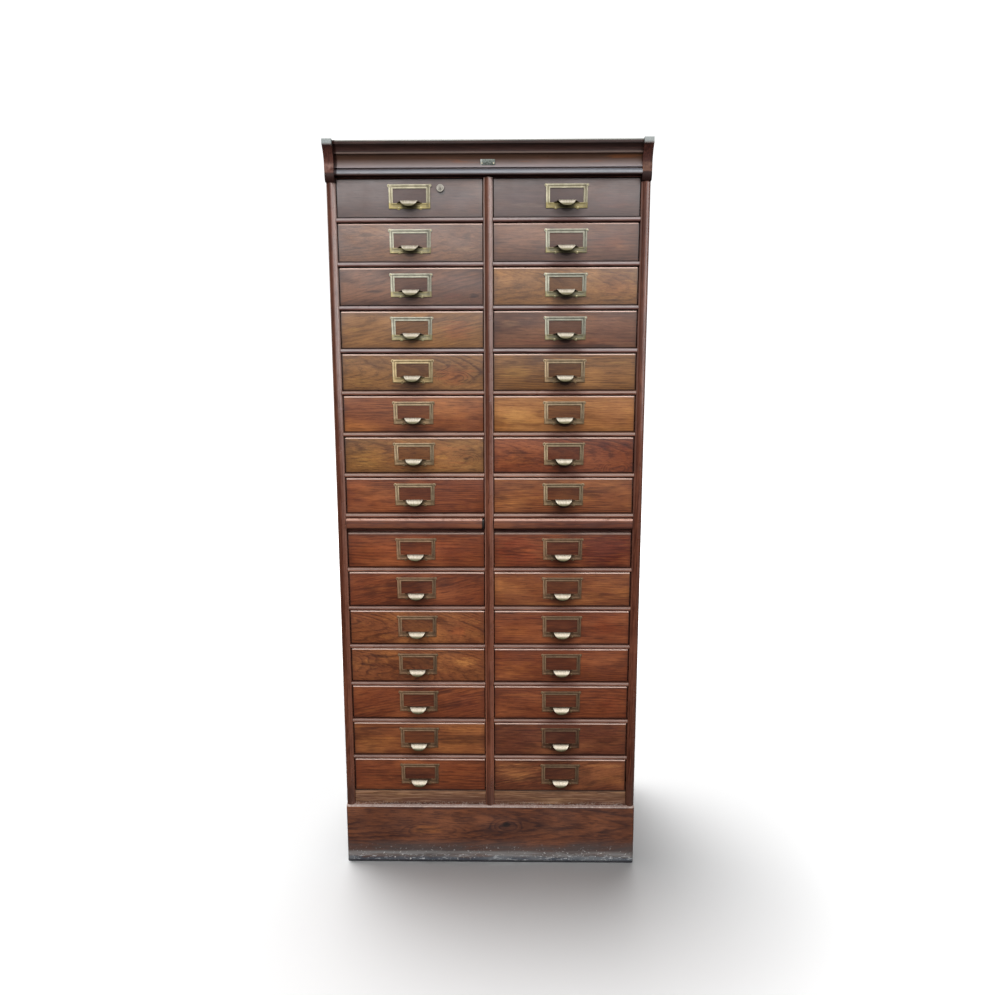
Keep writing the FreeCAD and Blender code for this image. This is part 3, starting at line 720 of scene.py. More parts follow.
def plinth():
    """Plinth front with rounded corners and an eased, rubbed ledge."""
    low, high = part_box("plinth_front")
    board = block("plinth_board", low, high)
    with editing(board, "EDGE", lambda c, e: same(c.y, low.y) and same(abs(c.x), high.x)):
        round_off(PLINTH_CORNER, 6)
    with editing(board, "EDGE", lambda c, e: same(c.z, high.z) and c.y < high.y - 1e-4
                 and not same(abs(c.x), high.x)):
        round_off(LEDGE_ROUND, 4)
    smooth(board)
    knots = [((-0.150, 0.095), (200, 50), 0.020), ((0.045, 0.105), (100, 50), 0.016)]
    wood = Oak("oak_plinth", (0, low.y, high.z / 2 + 0.02), PLINTH, PLANK, seed=8.8, knots=knots)
    height = wood.z
    ragged = wood.noise((14, 14, 120), 3.0, 0.6)
    for centre, size, tint in (((-0.165, 0.093), (100, 34), (1.5, 1.5, 1.1)),
                               ((0.043, 0.108), (30, 22), (0.30, 0.35, 0.40)),
                               ((0.10, 0.100), (340, 50), (0.80, 0.85, 0.95))):
        wood.stain(wood.spot(centre, size, 1.4, ragged), tint)
    smudge = wood.noise((7, 7, 30), 4.0, 0.6).range(0.35, 0.60, 0.45, 1.0)
    wood.lay(height.span(0, 72, 40) * smudge, (0.050, 0.040, 0.038), 0.85)
    rub_and_glint = wood.noise((9, 9, 60), 4.0, 0.6, (4, 2, 1)).range(0.36, 0.62, 0.25, 1.0)
    wood.lay(height.band(0, 10, 18, 26, 36) * rub_and_glint, (0.19, 0.185, 0.18), 0.65)
    edge = wood.noise((10, 10, 20), 4.0, 0.6)
    scuffed = (height - ((edge - 0.5) * 0.030 + 0.015)).span(0, 4, -4)
    slate = wood.mix(edge.range(0.4, 0.65), (0.040, 0.050, 0.065), (0.115, 0.125, 0.135))
    wood.lay(scuffed, slate, 0.85)
    strokes = wood.noise((60, 60, 420), 3.0, 0.6, (1, 5, 2)).range(0.58, 0.66)
    wood.lay(strokes * height.span(0, 28, 14), (0.42, 0.43, 0.44), 0.8)
    wood.lay(height.span(0, 60, 10).broken(170.0, 0.61, 0.68), (0.50, 0.48, 0.46))
    # Painted contact shadow, near-black, along the plinth's foot
    wood.lay(height.span(0, 8.5, 3.5), (0.012, 0.012, 0.014), 0.9)
    ledge = height.span(high.z, -3, -1.6) * wood.y.span(low.y, 12, 8)
    ledge = ledge.broken(60.0, 0.10, 0.50) * wood.x.range(0.02, 0.12, 1.0, 0.72)
    wood.lay(ledge, (0.27, 0.20, 0.175), 0.9)
    wood.lay(height.span(high.z, -3, -1).broken(260.0, 0.50, 0.60), (0.45, 0.40, 0.36), 0.4)
    dress(board, wood.varnish(0.42, 0.3), "carcass", "carcass_wood", "plinth_front")


# Cornice moulding: each member's distance ahead of the drawer faces and its height, then its bow
NOSING = (30.0, 10.0, 6.0)
SOFFIT = (2.0, 15.0, 2.5)
FILLET = (18.5, 4.0)
COVE = (14.5, 29.5, 6.0)
QUIRK = (9.5, 3.0)
OVOLO = (16.0, 14.5, 4.5)
QUARTER_SAG = 1 - math.sqrt(0.5)

# Its colours, in millimetres from its top down: the wood's own browns with painted light and shade
# from the moulding's shape, a pale painted sky sheen on the nosing's top, near-black painted shade on
# the nosing's face, in the soffit, in the quirk and under the ovolo, painted highlights on the small
# fillets and at the cove's foot, and a grey painted sky reflection on the ovolo
SOFFIT_SHADE, COVE_BROWN, OVOLO_SKY_GREY = (0.014, 0.009, 0.008), (0.052, 0.029, 0.018), (0.105, 0.120, 0.140)
CORNICE_BANDS = [
    (0.0, (0.20, 0.22, 0.20)), (2.5, (0.20, 0.22, 0.20)), (4.5, SOFFIT_SHADE), (9.0, SOFFIT_SHADE),
    (10.2, (0.060, 0.048, 0.044)), (11.2, SOFFIT_SHADE), (20.0, (0.024, 0.014, 0.012)), (24.6, SOFFIT_SHADE),
    (25.2, (0.105, 0.078, 0.065)), (28.4, (0.085, 0.060, 0.050)), (29.4, COVE_BROWN),
    (38.0, COVE_BROWN), (45.0, (0.100, 0.070, 0.060)), (54.0, (0.21, 0.180, 0.175)),
    (58.2, (0.25, 0.225, 0.235)), (58.8, (0.055, 0.040, 0.042)), (61.0, (0.055, 0.040, 0.042)),
    (62.0, OVOLO_SKY_GREY), (71.0, OVOLO_SKY_GREY), (73.5, (0.040, 0.032, 0.032)), (76.0, SHADE_AND_GRIME)]


def cornice():
    low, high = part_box("cornice_moulding")
    nosing_foot = -NOSING[1]
    fillet_top = nosing_foot - SOFFIT[1]
    cove_top = fillet_top - FILLET[1]
    cove_foot = cove_top - COVE[1]
    ovolo_top = cove_foot - QUIRK[1]
    ovolo_foot = ovolo_top - OVOLO[1]
    steps = [
        (NOSING[0] - NOSING[2], 0.0),
        ((NOSING[0], -NOSING[2]), NOSING[2] * QUARTER_SAG),
        (NOSING[0], nosing_foot),
        (NOSING[0] - SOFFIT[0], nosing_foot),
        ((FILLET[0], fillet_top), -SOFFIT[2]),
        (FILLET[0], cove_top),
        (COVE[0], cove_top),
        ((COVE[0], cove_foot), -COVE[2]),
        (QUIRK[0], cove_foot),
        (QUIRK[0], ovolo_top),
        ((OVOLO[0], ovolo_foot), OVOLO[2]),
        (0.0, ovolo_foot),
    ]
    moulding = pull_section("cornice_run", (low.x, FACE, high.z), high.x - low.x, (0.0, 0.0), steps)
    ease(moulding, 0.5 * MM)
    wood = Oak("oak_cornice", mean(low, high), DARK, STRAIGHT, seed=2.7)
    down = wood.z.range(high.z, low.z, smooth=False)
    tall = (high.z - low.z) / MM

    def banded(bands):
        return wood.ramp(down, [(place / tall, tone) for place, tone in bands])

    wood.lay(0.72, banded(CORNICE_BANDS))
    amber = wood.noise((9, 30, 60), 3.0, 0.6, (3, 0, 1)).range(0.56, 0.68)
    in_cove = banded([(30, 0.0), (33, 1.0), (44, 1.0), (50, 0.0)])
    wood.lay(amber * in_cove, (0.17, 0.055, 0.015), 0.35)
    corner = wood.x.span(low.x, 9, 5)
    wood.lay(corner, SHADE_AND_GRIME, 0.85)
    shine = banded([(50, 0.10), (56, 0.40), (59, 0.15), (62, 0.65), (73, 0.65), (75, 0.05)])
    material = wood.varnish(0.30, shine * (corner * -0.9 + 1.0))
    dress(moulding, material, "carcass", "carcass_wood", "cornice_moulding")


# Shaped end blocks, in millimetres: the upright face and the step under it, the hollow's bow, then
# the belly and the foot
BLOCK_AHEAD, BLOCK_FACE, BLOCK_STEP, HOLLOW_SAG = 36.0, 14.0, 1.5, 3.0
BELLY_AHEAD, BELLY_HEIGHT, BELLY_SAG, BELLY_FOOT_AHEAD = 17.0, 20.0, 0.8, 15.5
FOOT_HEIGHT, FOOT_SAG, FOOT_LIP = 20.0, 2.0, 1.5


def end_blocks():
    low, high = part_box("cornice_end_right")
    top, foot = high.z / MM, low.z / MM
    belly_foot = foot + FOOT_HEIGHT
    nose_start = NOSE_START / MM
    steps = [
        (BLOCK_AHEAD, top),
        (BLOCK_AHEAD, top - BLOCK_FACE),
        (BLOCK_AHEAD - BLOCK_STEP, top - BLOCK_FACE),
        ((BELLY_AHEAD, belly_foot + BELLY_HEIGHT), -HOLLOW_SAG),
        ((BELLY_FOOT_AHEAD, belly_foot), BELLY_SAG),
        (((NOSE_START + NOSE_RADIUS) / MM + FOOT_LIP, foot), FOOT_SAG),
        (nose_start, foot),
    ]
    right = pull_section("end_block_right", (low.x, FACE, 0), high.x - low.x, (nose_start, top),
                         steps)
    ease(right, 0.7 * MM)
    left = copy_of(right, "end_block_left", flip=True)
    # The left block's belly highlight is painted paler than the right one's
    for piece, node, seed, belly_light in (
            (right, "cornice_end_right", 12.6, (0.13, 0.055, 0.028)),
            (left, "cornice_end_left", 11.0, (0.20, 0.10, 0.075))):
        finish = block_finish("oak_" + node, *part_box(node), seed, belly_light)
        dress(piece, finish, "carcass", "carcass_wood", node)


def block_finish(name, low, high, seed, belly_light):
    """End blocks: dusty on top with a painted sky sheen, a tawny painted highlight on the belly, and
    painted shade, nearly black, at the foot.
    """
    wood = Oak(name, mean(low, high), DARK, STRAIGHT, "Z", seed)
    # Dust, with a painted sky sheen, on the top
    dust_and_sheen = wood.z.span(high.z, -16, -8).broken(60.0, 0.10, 0.40)
    wood.lay(dust_and_sheen, (0.20, 0.225, 0.22), 0.85)
    # Painted highlight where the belly faces up to the light
    belly = wood.z.band(low.z, 18, 22, 34, 44).broken(45.0, 0.30, 0.60)
    wood.lay(belly, belly_light, 0.7)
    # Painted shade, nearly black, under the belly down to the foot
    wood.lay(wood.z.span(low.z, 22, 17), SHADE_AND_GRIME, 0.85)
    return wood.varnish(0.42, (dust_and_sheen | belly * 0.6) * 0.25 + 0.10)


def writing_slides():
    for seed, side in enumerate(COLUMNS):
        body = "slide_" + side
        low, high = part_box("writing_slide_" + side)
        board = block("slide_board_" + side, low, high)
        ease(board, BOARD_EASE)
        finish = oak("oak_slide_board_" + side, low, high, GOLDEN, ARCHED, seed=14.0 + seed,
                     dull=0.42)
        dress(board, finish, body, "drawer_wood", "writing_slide_" + side)
        low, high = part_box("slide_lip_" + side)
        middle = mean(low, high)
        lip = block("slide_edge_" + side, low, high)
        with editing(lip, "EDGE", lambda c, e: same(c.y, low.y) and same(c.x, middle.x, 1e-3)):
            round_off(SLIDE_LIP_ROUND, 5)
        ease(lip, BOARD_EASE)
        wood = Oak("oak_slide_edge_" + side, middle, UMBER, QUIET, seed=15.5 + seed)
        wood.lay(0.35, (0.105, 0.038, 0.028))
        # A painted highlight along the lip's rounded top edge
        wood.lay(wood.z.span(high.z, -6, -1).broken(70.0, 0.15, 0.50), (0.50, 0.29, 0.22), 0.75)
        # Painted shadow at the left lip's right end
        if side == "left":
            wood.lay(wood.x.span(high.x, -6, -4), (0.004, 0.003, 0.002))
        dress(lip, wood.varnish(0.34, 0.3), body, "carcass_wood", "slide_lip_" + side)


# Drawers
OPENING_HEIGHT = 89.6 * MM
FRONT_THICKNESS = 19 * MM
BOX_HEIGHT = 86 * MM
WALL = 10 * MM
BOTTOM_THICKNESS = 5 * MM
RUNNING_GAP = 0.3 * MM
FRONT_GAP = 0.8 * MM
BOTTOM_RISE = 6 * MM
TOP_ARRIS, OTHER_ARRIS = 2.6 * MM, 1.0 * MM


def drawer_node(side, row):
    return "drawer_%s_%02d" % (side, row)


def sill_of(side, row):
    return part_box(drawer_node(side, row))[0].z - RUNNING_GAP


# Label pull, in millimetres about the middle of its drawer's sill
LABEL_WIDTH, LABEL_BOTTOM, LABEL_TOP = 98.0, 20.3, 75.3
SIDE_BAR, TOP_BAR, BOTTOM_BAR = 9.5, 9.4, 12.7
PLATE, OUTER_BEAD, INNER_BEAD = 1.4, (3.2, 2.8), (3.0, 2.2)
LUG_RADIUS, LUG_THICKNESS, LUG_RIM, LUG_EASE = 4.0, 2.4, 0.9, 0.45
LUG_PLACES = [(side * x, z) for x, z in ((48.5, 72.3), (26.0, 21.8)) for side in (-1, 1)]
PIN_RADIUS, SHANK_RADIUS, SHANK_LENGTH = 2.25, 0.9, 8.0
TONGUE_THICKNESS, TONGUE_ROOT, TONGUE_REACH, TONGUE_CLIMB = 1.6, 64.0, 15.0, 4.5
LIP_TOP, LIP_REACH, LIP_DROP = 42.0, 11.0, 15.0
WINDOW_BOTTOM, WINDOW_TOP = LABEL_BOTTOM + BOTTOM_BAR, LABEL_TOP - TOP_BAR


def label_frame():
    """Flat frame with a raised bead round its outside and one round its window."""
    only()
    bpy.ops.mesh.primitive_plane_add(size=1.0, rotation=(math.radians(90), 0, 0),
                                     location=(0, 0, (LABEL_BOTTOM + LABEL_TOP) / 2))
    plate = settle("label_frame", (LABEL_WIDTH, LABEL_TOP - LABEL_BOTTOM, 1))
    outer, inner = OUTER_BEAD[0], INNER_BEAD[0]
    groove = SIDE_BAR - outer - inner
    foot = LABEL_BOTTOM + outer + groove
    with editing(plate):
        bpy.ops.mesh.inset(thickness=outer)
        bpy.ops.mesh.inset(thickness=groove)
    with editing(plate, "EDGE", lambda c, e: same(c.z, foot, 1e-3) and abs(c.x) < 1e-3):
        move(z=BOTTOM_BAR - SIDE_BAR)
    with editing(plate, "FACE", lambda c, f: abs(c.x) < 1 and WINDOW_BOTTOM < c.z < WINDOW_TOP):
        bpy.ops.mesh.inset(thickness=inner)
        bpy.ops.mesh.delete(type="FACE")

    def in_outer_bead(c):
        return (abs(c.x) > LABEL_WIDTH / 2 - outer
                or not LABEL_BOTTOM + outer < c.z < LABEL_TOP - outer)

    def in_inner_bead(c):
        return (abs(c.x) < LABEL_WIDTH / 2 - SIDE_BAR + inner
                and WINDOW_BOTTOM - inner < c.z < WINDOW_TOP + inner)

    for wanted, height in ((in_outer_bead, OUTER_BEAD[1]), (in_inner_bead, INNER_BEAD[1])):
        with editing(plate, "FACE", lambda c, f: abs(f.normal.y) > 0.9 and wanted(c)):
            pull_out(y=PLATE - height)
    with editing(plate, "EDGE", lambda c, e: False):
        bpy.ops.mesh.select_non_manifold()
        pull_out(y=PLATE)
        bpy.ops.mesh.bridge_edge_loops()
        bpy.ops.mesh.select_all(action="SELECT")
        move(y=-PLATE)
        turn_outwards()
    ease(plate, 0.75, 3)
    return plate


def tongue():
    """Finger tongue: a shelf that climbs out of the lower bar and folds down into a lip.

    Its rows go from the root to the lip's edge: how far ahead, how high and half how wide.
    """
    bend_z = WINDOW_BOTTOM + TONGUE_CLIMB
    half_root, half_top = TONGUE_ROOT / 2, LIP_TOP / 2
    rows = [(0.0, WINDOW_BOTTOM, half_root), (4.0, WINDOW_BOTTOM + 1.0, half_root - 2.5),
            (9.0, WINDOW_BOTTOM + 2.5, half_top + 3.0),
            (TONGUE_REACH - 1.6, bend_z - 0.9, half_top),
            (TONGUE_REACH + 0.6, bend_z - 0.9, half_top - 0.4)]
    for reach, drop, half in ((0.34, 0.16, 20.6), (0.62, 0.38, 18.6), (0.80, 0.62, 15.6),
                              (0.90, 0.84, 12.0), (0.92, 0.96, 9.0)):
        rows.append((TONGUE_REACH + LIP_REACH * reach, bend_z - LIP_DROP * drop, half))
    only()
    last = len(rows) - 1
    bpy.ops.mesh.primitive_grid_add(x_subdivisions=8, y_subdivisions=last, size=1.0)
    piece = settle("tongue")
    for number, (ahead, z, half) in enumerate(rows):
        was = 0.5 - number / last
        with editing(piece, "VERT", lambda c, v: same(c.y, was, 1e-4) and c.z == 0):
            bpy.ops.transform.resize(value=(2 * half, 1, 1), center_override=(0, was, 0))
            move(y=-ahead - was, z=z)
    tip_ahead, _, tip_half = rows[-1]
    for reach, drop in ((0.95, 0.3), (0.70, 0.35), (0.40, 0.25)):
        with editing(piece, "VERT", lambda c, v: same(c.y, -tip_ahead, 1.5)
                     and abs(c.x) < tip_half * reach):
            move(y=-drop * 0.7, z=-drop)
    with editing(piece):
        turn_outwards()
    if sum(face.normal.z for face in piece.data.polygons) < 0:
        with editing(piece):
            bpy.ops.mesh.flip_normals()
    apply(piece, "SUBSURF", levels=1, render_levels=1)
    apply(piece, "SOLIDIFY", thickness=TONGUE_THICKNESS, offset=-1.0)
    ease(piece, 0.35, 2, 50)
    return piece


def lug(x, z):
    """Round lug that holds a pin."""
    piece = cylinder(None, (x, -LUG_THICKNESS / 2, z), LUG_RADIUS, LUG_THICKNESS, 24)
    with editing(piece, "FACE", lambda c, f: c.y < -LUG_THICKNESS + 1e-3):
        bpy.ops.mesh.inset(thickness=LUG_RIM)
    ease(piece, LUG_EASE, 2, 50)
    return piece


def pin(x, z):
    """Round-headed pin: a shank whose front face is swelled into a dome."""
    piece = cylinder(None, (x, SHANK_LENGTH / 2 - LUG_THICKNESS, z), SHANK_RADIUS, SHANK_LENGTH, 10)
    wider = PIN_RADIUS / SHANK_RADIUS
    with editing(piece, "FACE", lambda c, f: c.y < -LUG_THICKNESS + 1e-3):
        for rise, size in ((0, wider), (0.45, 0.90), (0.40, 0.68), (0.22, 0.40)):
            pull_out(y=-rise)
            bpy.ops.transform.resize(value=(size, 1, size), center_override=(x, -LUG_THICKNESS, z))
    smooth(piece, 50)
    return piece


def join_in_metres(name, pieces):
    piece = join(name, pieces)
    piece.data.transform(Matrix.Scale(MM, 4))
    return piece


def drawer_front(half):
    """Flat front with eased arrises."""
    height = OPENING_HEIGHT - 2 * FRONT_GAP
    front = block("drawer_front", (-half, 0, FRONT_GAP), (half, FRONT_THICKNESS, FRONT_GAP + height))
    with editing(front, "EDGE", lambda c, e: c.y < 1e-5 and c.z > height):
        round_off(TOP_ARRIS, 4)
    with editing(front, "EDGE", lambda c, e: c.y < 1e-5 and c.z < height and
                 (abs(c.x) > half - 1e-4 or c.z < FRONT_GAP + 1e-4)):
        round_off(OTHER_ARRIS, 3)
    ease(front, 0.4 * MM, 1, 60)
    return front


def drawer_box(half, depth):
    """Two sides, a back and a bottom between them, as separate boards."""
    top, rise = RUNNING_GAP + BOX_HEIGHT, RUNNING_GAP + BOTTOM_RISE
    inner, back = half - WALL, depth - WALL
    made = []
    for low, high in (((-half, FRONT_THICKNESS, RUNNING_GAP), (-inner, depth, top)),
                      ((inner, FRONT_THICKNESS, RUNNING_GAP), (half, depth, top)),
                      ((-inner, back, rise), (inner, depth, top)),
                      ((-inner, FRONT_THICKNESS, rise), (inner, back, rise + BOTTOM_THICKNESS))):
        made.append(block("drawer_board", low, high))
        ease(made[-1], 0.7 * MM)
    return join("drawer_box", made)


# How each drawer front looks: its tones and figure, its patches, then its knots. A patch is a
# place from the middle of the front and a size in millimetres, a tint that the wood is multiplied
# by and how strongly it shows. A knot is a place, a size and how far it pushes the rings.
INK = (0.28, 0.27, 0.36)
PLUM = (0.66, 0.52, 0.70)
CHERRY = (1.18, 0.86, 0.85)
AMBER = (1.50, 1.70, 1.40)
HONEY = (1.90, 2.30, 2.00)
SMOKE = (1.05, 1.15, 1.50)

FRONTS = {
    "left": [
        (GREYED, QUIET, [(120, -5, 90, 50, SMOKE, 0.5), (-20, -34, 70, 14, SMOKE, 0.4),
         (135, 0, 80, 80, INK, 0.2)]),
        (SHEEN_GREYED, ARCHED, [(-110, 18, 46, 15, INK, 0.65), (-128, -12, 60, 6, INK, 0.5),
         (136, 16, 26, 22, INK, 0.55), (130, -16, 70, 14, HONEY, 0.4)]),
        (ASHEN, SLANTED, [(-100, -12, 70, 9, INK, 0.7), (-150, 14, 40, 12, INK, 0.5),
         (100, -20, 60, 18, CHERRY, 0.5), (152, -22, 28, 20, INK, 0.7),
         (90, 14, 90, 24, CHERRY, 0.25)], (150, -20, 60, 44, 0.016)),
        (HAZEL, SLANTED, [(-140, 0, 50, 18, AMBER, 0.4), (110, 0, 90, 60, CHERRY, 0.6)]),
        (HAZEL, ARCHED, [(-125, -22, 60, 26, AMBER, 0.35), (-150, 30, 40, 12, AMBER, 0.3),
         (100, -8, 110, 60, CHERRY, 0.8)], (96, -12, 110, 50, 0.018)),
        (GOLDEN, QUIET, [(-110, 6, 110, 70, PLUM, 0.1), (120, -22, 90, 16, AMBER, 0.2),
         (140, 0, 90, 90, PLUM, 0.2)]),
        (HAZEL, ARCHED, [(70, -4, 34, 20, AMBER, 0.8), (128, -10, 16, 10, INK, 0.8),
         (-110, -6, 110, 60, HONEY, 0.45),
         (0, 0, 360, 100, CHERRY, 0.45)], (128, -10, 80, 50, 0.02)),
        (RED, STRAIGHT, [(-110, 8, 110, 50, AMBER, 0.35), (120, 4, 90, 60, AMBER, 0.2),
         (112, -30, 40, 16, AMBER, 0.6)]),
        (RED, QUIET, [(-130, 0, 60, 40, AMBER, 0.35), (0, 0, 340, 80, CHERRY, 0.35)]),
        (RED, SLANTED, [(-100, 2, 80, 30, AMBER, 0.45), (-62, -22, 70, 14, INK, 0.6),
         (20, -32, 90, 14, INK, 0.5)], (-60, -50, 150, 90, 0.02)),
        (GOLDEN, SWIRLED, [(-80, -24, 60, 16, AMBER, 0.6), (-70, 22, 60, 14, AMBER, 0.45),
         (105, -10, 44, 40, CHERRY, 0.5),
         (140, 14, 50, 26, HONEY, 0.3)], (70, -24, 120, 70, 0.014)),
        (GOLDEN, SWIRLED, [(-95, 24, 100, 13, INK, 0.85), (-140, 2, 40, 12, INK, 0.6),
         (-110, 8, 80, 14, AMBER, 0.6), (125, 8, 70, 26, HONEY, 0.8),
         (90, 34, 110, 8, INK, 0.5)], (-90, -10, 170, 80, 0.009)),
        (RED, SLANTED, [(-130, -24, 60, 18, AMBER, 0.6), (120, 0, 100, 60, PLUM, 0.4)]),
        (GOLDEN, QUIET, [(-100, -8, 130, 50, AMBER, 0.4), (-90, 30, 120, 7, INK, 0.5),
         (90, 22, 70, 6, INK, 0.4)]),
        (RED, QUIET, [(0, 0, 340, 90, AMBER, 0.22), (-130, -10, 60, 20, AMBER, 0.25)]),
    ],
    "right": [
        (GREYED, STRAIGHT, [(-110, 0, 110, 50, SMOKE, 0.45), (-90, -18, 90, 14, HONEY, 0.5),
         (110, -8, 110, 60, CHERRY, 0.5)]),
        (ASHEN, QUIET, [(110, 0, 110, 70, CHERRY, 0.35), (128, -12, 30, 12, AMBER, 0.4)]),
        (HAZEL, ARCHED, [(120, -34, 90, 12, INK, 0.6), (120, 4, 110, 80, PLUM, 0.5),
         (-60, 24, 50, 12, INK, 0.4)]),
        (ASHEN, QUIET, [(-135, 14, 60, 22, HONEY, 0.5), (110, 0, 130, 90, PLUM, 0.3),
         (0, -30, 340, 24, CHERRY, 0.4)]),
        (HAZEL, STRAIGHT, [(120, 32, 110, 9, INK, 0.5), (130, 22, 60, 8, HONEY, 0.4),
         (120, -10, 110, 60, PLUM, 0.2), (-120, 0, 90, 40, AMBER, 0.55),
         (-135, 24, 60, 8, INK, 0.4)]),
        (PALE, STRAIGHT, [(-110, -10, 120, 50, HONEY, 0.2), (120, 0, 110, 80, PLUM, 0.3)]),
        (RED, ARCHED, [(-112, 5, 90, 6, INK, 0.6), (100, 24, 40, 22, PLUM, 0.8),
         (150, 20, 30, 26, PLUM, 0.7), (-110, -14, 90, 26, AMBER, 0.5),
         (120, -20, 80, 20, AMBER, 0.5)], (130, -30, 90, 50, 0.016)),
        (GOLDEN, STRAIGHT, [(-110, 0, 130, 70, AMBER, 0.45)]),
        (RED, QUIET, [(-110, 0, 140, 90, CHERRY, 0.6), (-110, -2, 90, 22, AMBER, 0.4),
         (110, 0, 190, 110, PLUM, 1)]),
        (GOLDEN, STRAIGHT, [(-100, 4, 120, 40, AMBER, 0.2), (0, 0, 360, 100, PLUM, 0.35)]),
        (RED, STRAIGHT, [(-120, -8, 90, 40, AMBER, 0.5), (-40, 26, 140, 16, PLUM, 0.6),
         (110, 0, 90, 50, CHERRY, 0.3)]),
        (RED, STRAIGHT, [(-120, -8, 120, 60, AMBER, 0.9), (70, -26, 90, 16, AMBER, 0.3)]),
        (RED, QUIET, [(-110, 20, 120, 14, AMBER, 0.6),
         (130, -4, 70, 60, CHERRY, 0.3)], (-120, -30, 160, 80, 0.014)),
        (UMBER, QUIET, [(0, 0, 340, 90, PLUM, 0.4)]),
        (UMBER, SLANTED, [(-110, 4, 150, 70, HONEY, 0.85), (-100, -32, 120, 10, INK, 0.4),
         (120, 26, 110, 14, HONEY, 0.5), (130, -12, 90, 30, AMBER, 0.3)]),
    ],
}

# How strongly the varnish mirrors the sky, from the top row down
SHINE_BY_ROW = {"left": (0.62, 0.58, 0.42, 0.34, 0.28, 0.25, 0.24, 0.22, 0.20) + 6 * (0.23,),
                "right": (0.55, 0.43, 0.36, 0.26, 0.24, 0.21, 0.24, 0.22, 0.20) + 6 * (0.23,)}


def front_finish(side, row, low, high):
    """One drawer front, with grime and painted shade at its edges, painted shade in its window and
    under its pull, and its top arris rubbed pale with a painted highlight.
    """
    tones, figure, patches, *knots = FRONTS[side][row - 1]
    left = side == "left"
    middle = mean(low, high)

    def from_middle(x, z):
        return middle.x + x * MM, middle.z + z * MM

    knots = [(from_middle(x, z), (wide, tall), swell) for x, z, wide, tall, swell in knots]
    lively = 0.35 if row == 1 else 0.55 if row < 5 else 0.72
    wood = Oak("oak_front_%s_%02d" % (side, row), middle, tones, figure, "X",
               row * 1.37 + (0.61 if left else 0.0), knots, lively)
    ragged = wood.noise((22, 22, 260), 3.0, 0.6)
    for x, z, wide, tall, tint, share in patches:
        wood.stain(wood.spot(from_middle(x, z), (wide, tall), 2.4, ragged), tint, share)
    if left and row == 1:
        # Painted shadow of the lock's barrel, below and right of it
        lock_x, lock_z = lock_place()
        wood.lay(wood.spot((lock_x + 3 * MM, lock_z - 8 * MM), (24, 20)), SHADE_AND_GRIME, 0.9)
    off = abs(wood.x - middle.x)
    sill = low[2] - FRONT_GAP
    # The wood inside the label window is darkened as painted shade, less in the left column
    window = off.span(0, 41, 39) * (wood.z.span(sill + WINDOW_BOTTOM * MM, -2, 0)
                                    * wood.z.span(sill + WINDOW_TOP * MM, 1, -1))
    window_shade = wood.mix(1.0, wood.colour, 0.62 if left else 0.50, "MULTIPLY")
    wood.lay(window, wood.mix(0.35, window_shade, (0.055, 0.022, 0.017)), 0.8)
    # Painted shadow under the pull, darker in the right column
    soft, hard = (0.35, 0.65) if left else (0.58, 0.93)
    shade = (wood.spot((middle.x + 3 * MM, sill + 16 * MM), (100, 40)) * soft
             | wood.spot((middle.x + 1 * MM, sill + 20 * MM), (52, 26)) * hard)
    wood.lay(shade, SHADE_AND_GRIME)
    half = (high[0] - low[0]) / 2
    # Painted shade in the gaps at the front's ends and bottom, and on rows 1 and 9 a painted shadow
    # along the top under the cornice and the slide's lip
    outer_end = ((wood.x - middle.x) * (-1 if left else 1)).span(half, -3, -1)
    ends = outer_end | off.span(half, -2, -0.5) * 0.4
    dirt_and_shade = ends | wood.z.span(low[2], 3.5, 1)
    if row in (1, 9):
        dirt_and_shade = dirt_and_shade | wood.z.span(high[2], -5, -2)
    wood.lay(wood.rim(low, high, 14 * MM, "xz"), tones[0], 0.30)
    wood.lay(dirt_and_shade, SHADE_AND_GRIME, 0.75)
    # The top arris is rubbed pale with a painted highlight, weaker under the pull, and little or none
    # on rows 1 and 9, which lie in shade
    arris = wood.z.span(high[2], -3.8, -2.2).broken(70.0, 0.12, 0.38)
    arris = arris * (1.0 - ends) * off.span(0, 62, 24, 1.0, 0.75 if left else 0.5)
    wear_and_glint = {1: 0.0, 9: 0.25}.get(row, 0.85)
    wood.lay(arris, ARRIS_WEAR_AND_GLINT if row < 3 else (0.76, 0.54, 0.45), wear_and_glint)
    shine = (window * -0.35 + 1.0) * (shade * -0.8 + 1.0) * SHINE_BY_ROW[side][row - 1]
    return wood.varnish(0.36, shine)


# Brass of the label pulls: rubbed, in its hollows, and the tint of its lower bar
KHAKI_BRASS = ((0.40, 0.365, 0.260), (0.150, 0.125, 0.070), (0.36, 0.290, 0.110))
PALE_BRASS = ((0.42, 0.400, 0.310), (0.160, 0.155, 0.120), (0.36, 0.300, 0.140))
GOLD_BRASS = ((0.56, 0.430, 0.240), (0.200, 0.140, 0.060), (0.42, 0.310, 0.150))
OLIVE_BRASS = ((0.44, 0.320, 0.190), (0.150, 0.105, 0.060), (0.30, 0.190, 0.095))
BROWN_BRASS = ((0.38, 0.230, 0.130), (0.125, 0.075, 0.042), (0.32, 0.175, 0.090))
DULLED_BRASS = ((0.30, 0.170, 0.095), (0.085, 0.040, 0.024), (0.20, 0.095, 0.045))
# The upper rows get paler brass partly as a painted sky reflection
BRASS_BY_ROW = (KHAKI_BRASS,) + 3 * (PALE_BRASS,) + 4 * (OLIVE_BRASS,) + 7 * (BROWN_BRASS,)
ODD_PULLS = {("right", 14): DULLED_BRASS, ("left", 5): GOLD_BRASS}


